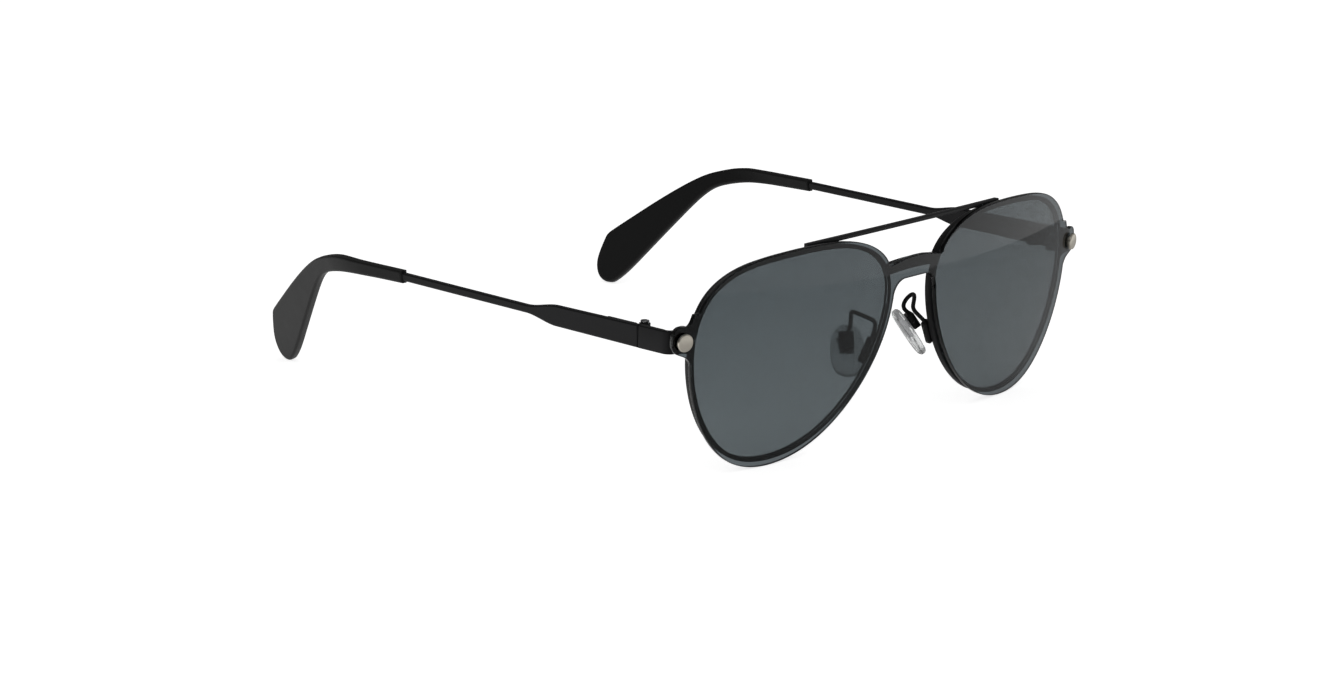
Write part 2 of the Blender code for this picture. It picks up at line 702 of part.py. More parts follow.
def make_brow_bar():
    """A flat bar over the bridge, with a foot at each end on the top of its rim."""
    middle = LENS_CENTRE_Z + BAR_RISE
    underside = middle - BAR_HEIGHT / 2

    def fall(x):
        return BAR_DROP * (x / BAR_HALF_LENGTH) ** 2

    shares = [i / LENS_STEPS for i in range(-LENS_STEPS, LENS_STEPS + 1)]
    top = [Vector((BAR_HALF_LENGTH * s, middle + BAR_HEIGHT / 2 - fall(BAR_HALF_LENGTH * s)))
           for s in reversed(shares)]
    feet = []
    for side in (-1, 1):
        foot = [(BAR_HALF_LENGTH, 0), (BAR_FOOT_OUTER, 0), (BAR_FOOT_OUTER, BAR_FOOT_SINK),
                (BAR_FOOT_INNER, BAR_FOOT_SINK), (BAR_FOOT_INNER, 0)]
        points = [Vector((side * x, underside - fall(x) - sink)) for x, sink in foot]
        feet.append(points if side < 0 else points[::-1])
    inner = [Vector((BAR_FOOT_INNER * s, underside - fall(BAR_FOOT_INNER * s))) for s in shares[1:-1]]
    bar = flat_solid("brow_bar", [top + feet[0] + inner + feet[1]], BAR_DEPTH)
    bar = round_edges(bar, SMALL_EDGE, segments=1)
    bar = combine(bar, rim_clearance())
    finish("brow_bar", form_to_front(bar), black_metal("brow_bar"))


def lug_front(start):
    """The end piece seen from the front: it widens from the stud to the rim."""
    half = LUG_HEIGHT / 2
    far = EAR_REACH + OVERRUN
    shares = [i / LENS_STEPS for i in range(LENS_STEPS + 1)]
    top = [Vector((STUD_X + (start - STUD_X) * s, TEMPLE_Z + half + LUG_FLARE_UP * s * s)) for s in shares]
    low = [Vector((STUD_X + (start - STUD_X) * s, TEMPLE_Z - half - LUG_FLARE_DOWN * s * s)) for s in shares]
    return [Vector((far, TEMPLE_Z + half))] + top + low[::-1] + [Vector((far, TEMPLE_Z - half))]


def make_end_pieces():
    """A strip that runs out from the rim, turns the corner and ends at the temple."""
    outer = TEMPLE_OUTER_X
    inner = outer - LUG_THICKNESS
    rear = TEMPLE_FRONT_Y - BUTT_GAP
    start = RIM_CENTRE_X + RIM_WIDTH / 2 - LUG_SINK
    face_end = outer - LUG_CORNER
    front = [Vector((start + (face_end - start) * i / LENS_STEPS, 0)) for i in range(LENS_STEPS + 1)]
    for point in front:
        point.y = front_depth(point.x, STUD_Z) - RIM_DEPTH / 2
    corner_y = front[-1].y + LUG_CORNER
    corner = arc((face_end, corner_y), LUG_CORNER, -LUG_TURN, 0, LENS_STEPS)
    inside = arc((face_end, corner_y), LUG_CORNER - LUG_THICKNESS, 0, -LUG_TURN, LENS_STEPS)
    back = [Vector((p.x, p.y + LUG_THICKNESS)) for p in reversed(front[:-1])]
    loop = front[:-1] + corner + [Vector((outer, rear)), Vector((inner, rear))] + inside + back
    lug = plan_solid("lug", loop, 2 * LUG_HEIGHT, TEMPLE_Z)
    lug = combine(lug, flat_solid("lug_front", [lug_front(start)], 2 * (OVERRUN - APEX_Y)), "INTERSECT")
    lug = combine(round_edges(lug, SMALL_EDGE, segments=1), form_to_front(rim_clearance()))
    depth = (MAGNET_THICKNESS + SEAT_GAP - RIM_DEPTH) / 2
    pocket_place = seat_on_front(STUD_X, STUD_Z, depth - OVERRUN / 2)
    pocket = cylinder("pocket", MAGNET_DIAMETER + 2 * FIT_GAP,
                      MAGNET_THICKNESS + SEAT_GAP + SEAT_GAP + OVERRUN, pocket_place)
    both_sides("end_piece", combine(lug, pocket), black_metal)


def make_rim_locks():
    """Two blocks behind the slit rim, one above the other, and the screw that draws them together."""
    depth = RIM_DEPTH / 2 + SEAT_GAP + LOCK_DEPTH / 2
    seat = seat_on_front(LOCK_X, TEMPLE_Z, depth)
    rise = (LOCK_HEIGHT + RIM_SLIT) / 2
    for name, sign in (("rim_lock_upper", 1), ("rim_lock_lower", -1)):
        block = box(name, (LOCK_WIDTH, LOCK_HEIGHT, LOCK_DEPTH),
                    seat @ Matrix.Translation((0, sign * rise, 0)))
        block = round_edges(block, SMALL_EDGE, segments=1)
        upright = seat @ Matrix.Rotation(math.radians(-90), 4, "X")
        hole = cylinder("hole", LOCK_SCREW + 2 * FIT_GAP, 4 * LOCK_HEIGHT, upright, SMALL_ROUND_STEPS)
        both_sides(name, combine(block, hole), black_metal)
    both_sides("rim_lock_screw",
               slotted_screw("lock_screw", LOCK_SCREW, LOCK_SCREW_HEAD,
                             2 * LOCK_HEIGHT + RIM_SLIT, upright), bright_metal)


def slotted_screw(name, shank, head, grip, place):
    """A screw through grip, its middle at place, with a slotted head on top along local Z."""
    top = grip / 2 + SEAT_GAP
    profile = [
        (0, top + SCREW_HEAD_HEIGHT),
        (head / 2 - FIT_GAP, top + SCREW_HEAD_HEIGHT),
        (head / 2, top + SCREW_HEAD_HEIGHT - FIT_GAP),
        (head / 2, top),
        (shank / 2, top),
        (shank / 2, -grip / 2),
        (0, -grip / 2),
    ]
    screw = turned(name, profile, place, SMALL_ROUND_STEPS)
    slot_place = place @ Matrix.Translation((0, 0, top + SCREW_HEAD_HEIGHT))
    return combine(screw, box("slot", (2 * head, SCREW_SLOT, SCREW_HEAD_HEIGHT), slot_place))


def temple_middle(y):
    """Height of the temple's middle line at this y: level, then rising a little to the tip."""
    if y <= WIRE_FRONT_Y:
        return TEMPLE_Z
    return TEMPLE_Z + WIRE_RISE * min((y - WIRE_FRONT_Y) / WIRE_LENGTH, 1)


def temple_half_height(y):
    """Half the height of the temple at this y: a blade, a neck and a wire."""
    if y <= BLADE_REAR_Y:
        share = (y - TEMPLE_FRONT_Y) / BLADE_LENGTH
        return (BLADE_HEIGHT + (BLADE_REAR_HEIGHT - BLADE_HEIGHT) * share) / 2
    share = min((y - BLADE_REAR_Y) / NECK_LENGTH, 1)
    ease = share * share * (3 - 2 * share)
    return (BLADE_REAR_HEIGHT + (WIRE_HEIGHT - BLADE_REAR_HEIGHT) * ease) / 2


def tip_axes():
    """The direction in which the flat paddle runs and the one across it, as (y, z)."""
    angle = math.radians(TIP_DOWN_ANGLE)
    along = Vector((math.cos(angle), -math.sin(angle)))
    return along, Vector((math.sin(angle), math.cos(angle)))


def tip_origin():
    return Vector((TIP_BEND_Y, TEMPLE_Z - TIP_BEND_DROP))


def paddle_points(shares):
    """Points given as shares of the paddle's length and width, as (y, z)."""
    along, across = tip_axes()
    return [
        tip_origin() + along * PADDLE_LENGTH * length + across * PADDLE_WIDTH * width
        for length, width in shares
    ]


def fold_inwards(obj):
    """Bends what lies behind the fold line of the tip towards the other temple."""
    along, across = tip_axes()
    fold = tip_origin() - along * FOLD_AHEAD
    angle = math.radians(TIP_IN_ANGLE)
    radius = 2 * FOLD_HALF / angle
    work = bmesh.new()
    work.from_mesh(obj.data)
    for i in range(-LENS_STEPS, LENS_STEPS + 1):
        place = fold + along * FOLD_HALF * i / LENS_STEPS
        bmesh.ops.bisect_plane(
            work, geom=work.verts[:] + work.edges[:] + work.faces[:],
            plane_co=(0, place.x, place.y), plane_no=(0, along.x, along.y),
        )
    for vertex in work.verts:
        flat = Vector((vertex.co.y, vertex.co.z)) - fold
        reach = flat.dot(along)
        if reach <= -FOLD_HALF:
            continue
        turn = angle * min((reach + FOLD_HALF) / (2 * FOLD_HALF), 1)
        beyond = max(reach - FOLD_HALF, 0)
        out = vertex.co.x - TEMPLE_X
        inwards = radius * (1 - math.cos(turn)) + beyond * math.sin(turn) - out * math.cos(turn)
        vertex.co.x = TEMPLE_X - inwards
        reach = -FOLD_HALF + radius * math.sin(turn) + beyond * math.cos(turn) + out * math.sin(turn)
        place = fold + along * reach + across * flat.dot(across)
        vertex.co.y = place.x
        vertex.co.z = place.y
    work.to_mesh(obj.data)
    work.free()
    return obj


def core_path():
    """Middle of the core wire inside the tip: straight through the sleeve, then into the paddle."""
    straight = [Vector((SLEEVE_FRONT_Y, TEMPLE_Z + WIRE_RISE)),
                Vector((SLEEVE_FRONT_Y + SLEEVE_LENGTH, TEMPLE_Z))]
    return smooth_points(straight + paddle_points(CORE_SHARES), 3, closed=False)


def band(path, half_height):
    """The two edges of a band about a path: the upper one forwards, the lower one back."""
    upper, lower = [], []
    for i, point in enumerate(path):
        step = path[min(i + 1, len(path) - 1)] - path[max(i - 1, 0)]
        side = Vector((-step.y, step.x)).normalized() * half_height
        upper.append(point + side)
        lower.append(point - side)
    return upper, lower


def make_temples(hangers):
    """One strip: blade, neck and wire, and the thinner core that the tip is pushed over."""
    shares = [i / 8 for i in range(9)]
    ys = [TEMPLE_FRONT_Y] + [BLADE_REAR_Y + NECK_LENGTH * share for share in shares]
    ys.append(SLEEVE_FRONT_Y - SLEEVE_CLEARANCE)
    upper = [Vector((y, temple_middle(y) + temple_half_height(y))) for y in ys]
    lower = [Vector((y, temple_middle(y) - temple_half_height(y))) for y in ys]
    strip = side_solid("temple", upper + lower[::-1], TEMPLE_THICKNESS, TEMPLE_X)
    strip = round_edges(strip, TEMPLE_EDGE)
    path = core_path()
    path[0] = path[0] - Vector((2 * OVERRUN, 0))
    upper, lower = band(path, CORE_HEIGHT / 2)
    core = side_solid("core", upper + lower[::-1], CORE_THICKNESS, TEMPLE_X)
    core = round_edges(core, SMALL_EDGE, segments=1)
    both_sides("temple", fold_inwards(combine(strip, core, "UNION")), black_metal, hangers)


def make_tips(hangers):
    """The flat outline of sleeve and paddle, bored for the core, then bent inwards."""
    rear_y = SLEEVE_FRONT_Y + SLEEVE_LENGTH
    front_z = TEMPLE_Z + WIRE_RISE
    top = [Vector((SLEEVE_FRONT_Y, front_z + SLEEVE_FRONT_HEIGHT / 2)),
           Vector((rear_y, TEMPLE_Z + SLEEVE_REAR_HEIGHT / 2))]
    bottom = [Vector((rear_y, TEMPLE_Z - SLEEVE_REAR_HEIGHT / 2)),
              Vector((SLEEVE_FRONT_Y, front_z - SLEEVE_FRONT_HEIGHT / 2))]
    edge = smooth_points(top + paddle_points(PADDLE_SHARES) + bottom, 2, closed=False)
    tip = round_edges(side_solid("tip", edge, TIP_THICKNESS, TEMPLE_X), TIP_EDGE)
    path = core_path()
    path[0] = path[0] - Vector((OVERRUN, 0))
    path[-1] = path[-1] + tip_axes()[0] * FIT_GAP
    upper, lower = band(path, CORE_HEIGHT / 2 + FIT_GAP)
    bore = side_solid("bore", upper + lower[::-1], CORE_THICKNESS + 2 * FIT_GAP, TEMPLE_X)
    both_sides("temple_tip", fold_inwards(combine(tip, bore)), black_acetate, hangers)


def make_hinges(hangers):
    """Three knuckles on one screw: the outer two on the end piece, the middle one on the temple."""
    axis = Matrix.Translation((HINGE_X, HINGE_Y, TEMPLE_Z))
    pitch = KNUCKLE_HEIGHT + KNUCKLE_GAP
    full = 2 * pitch + KNUCKLE_HEIGHT
    leaf_outer = TEMPLE_INNER_X - SEAT_GAP - HINGE_X
    leaf_inner = leaf_outer - LEAF_THICKNESS
    root = KNUCKLE_DIAMETER / 2 - KNUCKLE_ROOT

    def leaf(name, length, start):
        size = (LEAF_THICKNESS, abs(length), full)
        middle = ((leaf_inner + leaf_outer) / 2, start + length / 2, 0)
        return round_edges(box(name, size, axis @ Matrix.Translation(middle)), SMALL_EDGE, segments=1)

    def add_knuckle(obj, level, side):
        place = axis @ Matrix.Translation((0, 0, level * pitch))
        obj = combine(obj, cylinder("knuckle", KNUCKLE_DIAMETER, KNUCKLE_HEIGHT, place), "UNION")
        reach = LEAF_SETBACK + KNUCKLE_ROOT
        size = (leaf_inner + KNUCKLE_ROOT / 2 - root, reach, KNUCKLE_HEIGHT)
        middle = ((leaf_inner + KNUCKLE_ROOT / 2 + root) / 2, side * reach / 2, 0)
        return combine(obj, box("root", size, place @ Matrix.Translation(middle)), "UNION")

    bore = KNUCKLE_DIAMETER + 2 * FIT_GAP
    front = leaf("front_leaf", -FRONT_LEAF_LENGTH, -LEAF_SETBACK)
    for level in (-1, 1):
        front = add_knuckle(front, level, -1)
    rear = leaf("rear_leaf", REAR_LEAF_LENGTH, LEAF_SETBACK)
    rear = add_knuckle(rear, 0, 1)
    for name, half, hanging in (("front_hinge", front, None), ("temple_hinge", rear, hangers)):
        hole = cylinder("hole", HINGE_SCREW + 2 * FIT_GAP, full + bore, axis, SMALL_ROUND_STEPS)
        both_sides(name, combine(half, hole), black_metal, hanging)
    both_sides("hinge_screw",
               slotted_screw("hinge_screw", HINGE_SCREW, HINGE_SCREW_HEAD, full, axis), bright_metal)


def pad_root_x():
    """Where the solder bar of the pad arm lies on the nose side of the rim."""
    z = LENS_CENTRE_Z - PAD_SOLDER_DROP
    loop = lens_outline(RIM_SHARES, RIM_CENTRE_X, RIM_WIDTH, RIM_HEIGHT, RIM_WALL / 2)
    for start, end in zip(loop, loop[1:]):
        if start.x < RIM_CENTRE_X and start.y >= z > end.y:
            share = (start.y - z) / (start.y - end.y)
            return start.x + (end.x - start.x) * share + PAD_SOLDER_SHIFT
    raise ValueError("the solder bar lies below the rim")


def pad_frame():
    """At the pad screw: X across the pad, Y up its length, Z away from the nose."""
    down = Vector(PAD_DOWN_DIRECTION).normalized()
    nose = Vector(PAD_NOSE_DIRECTION)
    nose = (nose - down * nose.dot(down)).normalized()
    across = (-down).cross(-nose)
    turn = Matrix((across, -down, -nose)).transposed().to_4x4()
    x = pad_root_x() + PAD_BOX_SIDE
    depth = front_depth(x, STUD_Z) + PAD_BOX_BEHIND
    return Matrix.Translation((x, depth, LENS_CENTRE_Z - PAD_BOX_DROP)) @ turn


def make_pad_arms():
    """A wire from a solder bar on the rim, looped back to the box that takes the pad."""
    lean = math.radians(PAD_SOLDER_LEAN)
    depth = RIM_DEPTH / 2 + SEAT_GAP + PAD_SOLDER_DEPTH / 2
    root_x = pad_root_x()
    seat = seat_on_front(root_x, LENS_CENTRE_Z - PAD_SOLDER_DROP, depth, lean)
    arm = box("arm", (PAD_SOLDER_WIDTH, PAD_SOLDER_LENGTH, PAD_SOLDER_DEPTH), seat)
    arm = round_edges(arm, SMALL_EDGE, segments=1)
    points = [
        Vector((root_x + x * MM, front_depth(root_x + x * MM, STUD_Z) + y * MM, LENS_CENTRE_Z + z * MM))
        for x, y, z in PAD_ARM_POINTS
    ]
    arm = combine(arm, wire("arm_wire", smooth_points(points, 3, closed=False), PAD_ARM_WIRE), "UNION")
    frame = pad_frame()
    holder_place = frame @ Matrix.Translation((0, 0, PAD_BOX_SHIFT))
    holder = box("holder", (PAD_BOX_WIDTH, PAD_BOX_LENGTH, PAD_BOX_DEPTH), holder_place)
    holder = round_edges(holder, SMALL_EDGE, segments=1)
    slot_place = holder_place @ Matrix.Translation((0, 0, -PAD_BOX_BACK))
    slot = box("slot", (PAD_SLOT_WIDTH, PAD_SLOT_LENGTH, PAD_BOX_DEPTH), slot_place)
    arm = combine(arm, combine(holder, slot), "UNION")
    sideways = frame @ Matrix.Rotation(math.radians(90), 4, "Y")
    hole = cylinder("hole", PAD_SCREW + 2 * FIT_GAP, 2 * PAD_BOX_WIDTH, sideways, SMALL_ROUND_STEPS)
    both_sides("pad_arm", combine(arm, hole), black_metal)
    screw = slotted_screw("pad_screw", PAD_SCREW, PAD_SCREW_HEAD, PAD_BOX_WIDTH, sideways)
    both_sides("pad_screw", screw, bright_metal)


def make_nose_pads(hangers):
    """A soft pad with a pocket in its back, and the metal insert whose tongue goes in the box."""
    frame = pad_frame()
    lie_flat = Matrix.Rotation(math.radians(-90), 4, "X")
    middle = -(PAD_BACK + PAD_THICKNESS / 2)
    half = (PAD_WIDTH / 2, PAD_LENGTH / 2)
    corners = [(across * half[0], up * half[1] - PAD_DROP) for up, across in PAD_SHARES]
    pad = flat_solid("pad", [smooth_points(corners, 3)], PAD_THICKNESS)
    pad.data.transform(Matrix.Translation((0, 0, middle)) @ lie_flat)
    pad = round_edges(pad, PAD_EDGE, segments=3)
    pocket_size = (INSERT_WIDTH + 2 * FIT_GAP, INSERT_LENGTH + 2 * FIT_GAP,
                   2 * (INSERT_SINK + INSERT_THICKNESS / 2 + FIT_GAP))
    pad = combine(pad, box("pocket", pocket_size, Matrix.Translation((0, 0, -PAD_BACK))))
    pad.data.transform(frame)
    both_sides("nose_pad", pad, clear_silicone, hangers)
    plate_z = -PAD_BACK - INSERT_SINK
    insert = box("insert", (INSERT_WIDTH, INSERT_LENGTH, INSERT_THICKNESS),
                 Matrix.Translation((0, 0, plate_z)))
    tongue_height = TONGUE_END - plate_z
    tongue = box("tongue", (TONGUE_WIDTH, TONGUE_LENGTH, tongue_height),
                 Matrix.Translation((0, 0, plate_z + tongue_height / 2)))
    insert = combine(insert, tongue, "UNION")
    hole = cylinder("hole", PAD_SCREW + 2 * FIT_GAP, 2 * INSERT_WIDTH,
                    Matrix.Rotation(math.radians(90), 4, "Y"), SMALL_ROUND_STEPS)
    insert = combine(insert, hole)
    insert.data.transform(frame)
    both_sides("pad_insert", insert, bright_metal, hangers)


def main():
    clear_scene()
    hinges = empty_pair("hinge_axis", (HINGE_X, HINGE_Y, TEMPLE_Z))
    pads = empty_pair("pad_axis", pad_frame().translation)
    make_rims()
    make_clear_lenses()
    make_bridge()
    make_brow_bar()
    make_end_pieces()
    make_magnets()
    make_rim_locks()
    make_temples(hinges)
    make_tips(hinges)
    make_hinges(hinges)
    make_pad_arms()
    make_nose_pads(pads)
    make_tinted_plate()
    make_studs()


main()
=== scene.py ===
"""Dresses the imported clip-on eyeglasses with fine meshes, finishes and a plain studio.

Shapes are worked out in millimetres and turned to metres when a mesh is made. +X is the wearer's
left, -Y the front of the lenses, +Z up. Left pieces are made once and mirrored.
"""

import math
from contextlib import contextmanager

import bmesh
import bpy
import numpy as np
from bpy.props import FloatProperty, FloatVectorProperty, IntProperty, PointerProperty
from mathutils import Matrix, Vector
from mathutils.geometry import delaunay_2d_cdt


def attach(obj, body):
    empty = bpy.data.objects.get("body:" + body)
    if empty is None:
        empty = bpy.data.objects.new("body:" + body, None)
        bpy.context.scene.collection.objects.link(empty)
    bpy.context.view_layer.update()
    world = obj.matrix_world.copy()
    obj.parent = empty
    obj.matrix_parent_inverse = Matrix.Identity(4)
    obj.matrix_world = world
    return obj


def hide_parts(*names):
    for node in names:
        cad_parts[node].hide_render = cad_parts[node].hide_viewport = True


bl_info = {
    "name": "Clip-on eyeglasses",
    "version": (1, 0, 0),
    "blender": (4, 5, 0),
    "location": "View3D > Sidebar > Eyeglasses",
    "description": "Builds the looks of aviator eyeglasses with a tinted clip-on",
    "category": "Object",
}

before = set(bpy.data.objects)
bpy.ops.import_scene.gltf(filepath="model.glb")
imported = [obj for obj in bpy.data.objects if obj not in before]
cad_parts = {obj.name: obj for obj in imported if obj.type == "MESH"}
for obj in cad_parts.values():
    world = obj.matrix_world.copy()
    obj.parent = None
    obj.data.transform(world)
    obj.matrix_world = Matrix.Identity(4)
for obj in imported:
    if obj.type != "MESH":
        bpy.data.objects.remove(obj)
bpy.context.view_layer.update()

MM = 0.001

# Front: both lenses follow one curved face
APEX_Y = -67.8
APEX_Z = 40.1
FRONT_CURVE = 322.0
UPRIGHT_CURVE = 298.0
LENS_CENTRE_Z = 23.5
STUD_Z = 31.1
TEMPLE_Z = 30.75

# Lens shapes, seen from the front, from the nose side round over the bottom to the top
TINT_SHARES = (
    (-0.98, 0.45), (-0.88, -0.02), (-0.69, -0.39), (-0.44, -0.69),
    (-0.14, -0.90), (0.22, -0.98), (0.55, -0.89), (0.80, -0.59),
    (0.95, -0.19), (1.00, 0.29), (0.88, 0.72), (0.57, 0.92),
    (0.22, 0.96), (-0.13, 0.98), (-0.51, 0.96), (-0.85, 0.79),
)
RIM_SHARES = (
    TINT_SHARES[0], (-0.89, -0.02), (-0.71, -0.40), (-0.46, -0.70), (-0.15, -0.91),
    *TINT_SHARES[5:])
RIM_WIDTH = 58.0
RIM_HEIGHT = 44.9
RIM_CENTRE_X = 36.4
RIM_SLIT = 0.2
GROOVE_WIDTH = 1.0
GROOVE_DEPTH = 0.4
FIT_GAP = 0.1
SEAT_GAP = 0.08
LENS_EDGE = 0.12

# Tinted plate
TINT_WIDTH = 58.6
TINT_HEIGHT = 46.4
TINT_CENTRE_X = 36.7
TINT_DEPTH = -1.65
TINT_FADE = (8.0, 42.0)
TINT_SLANT = (0.30, 0.60, 1.0, 0.62)
WEB_TOP_Z = LENS_CENTRE_Z + 16.4
WEB_HALF_WIDTH = 9.6
WEB_SHARES = ((0.97, -0.75), (0.85, -0.86), (0.60, -0.42), (0.30, -0.10), (0.0, 0.0))
WEB_DROP = 1.1
NOSE_ARCH_Z = LENS_CENTRE_Z + 11.7
NOSE_ARCH_RADIUS = 3.8
EAR_REACH = 70.9
EAR_LENGTH = 5.2
EAR_HEIGHT = 6.4
EAR_SHARES = (
    (0.04, -0.82), (0.18, -0.60), (0.50, -0.48), (0.86, -0.38), (1.02, -0.16), (1.02, 0.12),
    (0.94, 0.46), (0.60, 0.54), (0.30, 0.42), (0.12, 0.58), (0.00, 0.84),
)

# Studs and magnets
STUD_X = 68.3
STUD_LIFT = 0.4
STUD_SHANK = 2.4
STUD_RINGS = ((0.42, 0.03), (0.36, 0.05))
STUD_SHOULDER = 0.26
STUD_SHOULDER_DROP = 0.04
MAGNET_DIAMETER = 3.0
MAGNET_THICKNESS = 0.7

# Bridge and brow bar
BRIDGE_Z = LENS_CENTRE_Z + 14.5
BRIDGE_DROP = 0.7
BRIDGE_HEIGHT = 2.3
BRIDGE_DEPTH = 1.5
BRIDGE_HALF_SPAN = 11.0
BRIDGE_EDGE = 0.32
BAR_Z = LENS_CENTRE_Z + 23.45
BAR_DROP = 0.55
BAR_HEIGHT = 0.9
BAR_DEPTH = 1.4
BAR_HALF_LENGTH = 33.9
BAR_FOOT_INNER = 26.6
BAR_FOOT_OUTER = 32.9
BAR_EDGE = 0.2

# End piece, from inside the rim wall round the corner to the temple
LUG_START_X = 65.0
LUG_FLARE_X = 64.2
LUG_HEIGHT = 4.9
LUG_THICKNESS = 1.3
LUG_CORNER = 2.2
LUG_EDGE = 0.26
LUG_TURN = 80.0
LUG_FLARE_UP = 1.1
LUG_FLARE_DOWN = 1.3
LUG_REAR_Y = -52.5

# Temple and tip
TEMPLE_X = 70.5
TEMPLE_FRONT_Y = -52.3
BLADE_REAR_Y = -29.8
WIRE_FRONT_Y = -21.0
SLEEVE_FRONT_Y = 14.8
SLEEVE_REAR_Y = 30.8
BLADE_HEIGHT = 4.9
BLADE_REAR_HEIGHT = 4.5
WIRE_HEIGHT = 1.8
WIRE_RISE = 0.3
SLEEVE_FRONT_HEIGHT = 2.8
SLEEVE_REAR_HEIGHT = 3.0
TIP_BEND_Y = 38.4
TIP_BEND_Z = TEMPLE_Z - 1.0
TIP_DOWN_ANGLE = math.radians(47.1)
TIP_IN_ANGLE = math.radians(18.8)
FOLD_AHEAD = 4.65
FOLD_HALF = 5.0
PADDLE_LENGTH = 44.3
PADDLE_WIDTH = 11.5
PADDLE_SHARES = (
    (-0.103, -0.095), (-0.032, 0.103), (0.04, 0.25), (0.10, 0.37), (0.18, 0.47), (0.31, 0.58),
    (0.47, 0.68), (0.63, 0.76), (0.79, 0.84), (0.81, 0.83), (0.88, 0.69), (0.95, 0.53),
    (0.99, 0.28), (0.985, 0.06), (0.95, -0.08), (0.93, -0.11), (0.84, -0.13), (0.69, -0.07),
    (0.54, -0.01), (0.38, 0.05), (0.23, 0.10), (0.13, 0.07), (0.06, -0.06), (-0.01, -0.22),
)

# Screws: shank, head and grip, the axes of the hinge and of the rim lock
SCREW_HEAD_HEIGHT = 0.5
SCREW_SLOT = 0.3
SCREW_CROWN = 0.12
HINGE_SCREW = (1.1, 1.9, 4.4)
LOCK_SCREW = (0.9, 1.5, 3.4)
PAD_SCREW = (0.6, 1.2, 3.4)
HINGE_X = 68.0
HINGE_Y = -51.5
LOCK_X = 65.4
LOCK_BACK = 1.98
BLOCK_EDGE = 0.06

# Nose pads and their arms
PAD_ROOT_X = 11.6
PAD_ARM_POINTS = (
    (-0.9, 1.8, -1.8), (-2.2, 2.3, -0.3), (-3.8, 3.0, 1.2), (-4.2, 3.7, 2.2),
    (-2.4, 4.7, 3.0), (-0.2, 6.0, 4.3), (-0.4, 7.1, 4.0), (-1.6, 8.0, 2.3),
    (-1.7, 8.0, 0.9), (-0.7, 7.6, 0.0), (0.3, 7.2, -0.8),
)
SOLDER_SIZE = (2.0, 6.0, 1.5)
SOLDER_DROP = 3.6
SOLDER_LEAN = math.radians(30)
SOLDER_EDGE = 0.45
PAD_BOX_SIZE = (3.4, 3.6, 1.8)
PAD_BOX_PLACE = (12.2, 7.2, -2.15)
PAD_BOX_SHIFT = 0.2
PAD_BOX_EDGE = 0.3
PAD_SLOT_SIZE = (1.2, 2.2, 1.8)
PAD_SLOT_BACK = 0.35
PAD_DOWN_DIRECTION = (0.41, -0.40, -0.82)
PAD_NOSE_DIRECTION = (-0.78, 0.60, 0.0)
PAD_LENGTH = 12.0
PAD_WIDTH = 7.8
PAD_BACK = 1.0
PAD_DROP = 1.75
PAD_SHARES = (
    (-1.00, -0.05), (-0.94, -0.55), (-0.60, -0.90), (0.00, -1.00), (0.60, -0.92), (0.96, -0.50),
    (1.02, 0.00), (0.94, 0.50), (0.56, 0.86), (0.00, 0.95), (-0.60, 0.86), (-0.94, 0.45),
)

# Floor as it is seen in gloss: it darkens away from the lenses up to the edge of a pale card
CARD_DIRECTION = (0.475, -0.88, 0.0)
CARD_EDGE = 0.192
CARD_FADE = (-0.03, 0.04, 0.75, 0.10)
CARD_GLOW = 0.50
GLOSS_SHARE = 0.45
FLOOR_GLOW = 0.76
FLOOR_REACH = 6

# Lamps: name, its power among the studio's values, width and place in metres
LAMPS = (
    ("key", "key_power", 0.9, (-0.55, -0.35, 0.85)),
    ("fill", "fill_power", 0.9, (0.75, -0.55, 0.55)),
    ("back", "fill_power", 0.8, (0.1, 0.9, 0.7)),
)

# Camera as it stood for the photograph: azimuth, elevation and roll in degrees, its place in
# millimetres
CAMERA_ANGLES = (-49.990, 14.637, -1.945)
CAMERA_PLACE = (-646.46, -544.04, 225.76)
CAMERA_SENSOR = 36
CAMERA_CLIP = 0.01

SIDES = (("left", 1), ("right", -1))
LATHE_RADIUS = 10.0

# Meshes: how close points merge, and how far apart points lie inside plates and along outlines
MERGE_DISTANCE = 0.0005 * MM
WELD_DISTANCE = 0.001 * MM
LENS_GRID = 2.0
STRIP_GRID = 0.8
BAR_GRID = 0.6
TEMPLE_GRID = 0.9
TIP_GRID = 1.2
GRID_ROWS = 0.87
GRID_CLEARANCE = 0.45
PLATE_POINTS = 0.3
TIP_POINTS = 0.7
WIRE_POINTS = 0.05

# Finishes: sizes of the patches along the edges, rubbed lighter on the frame and painted shade on
# the tinted plate, and of the dust, and the share that is free of dust
BROAD_GRAIN = 0.06
FINE_SHARE = 0.4
EDGE_PATCH_SCALE = 900
DUST_SCALE = 4200
DUST_FREE = 0.70


# Sizes and finishes that a user may change


def length_property(name, description, millimetres):
    return FloatProperty(
        name=name, description=description, default=millimetres * MM, unit="LENGTH")


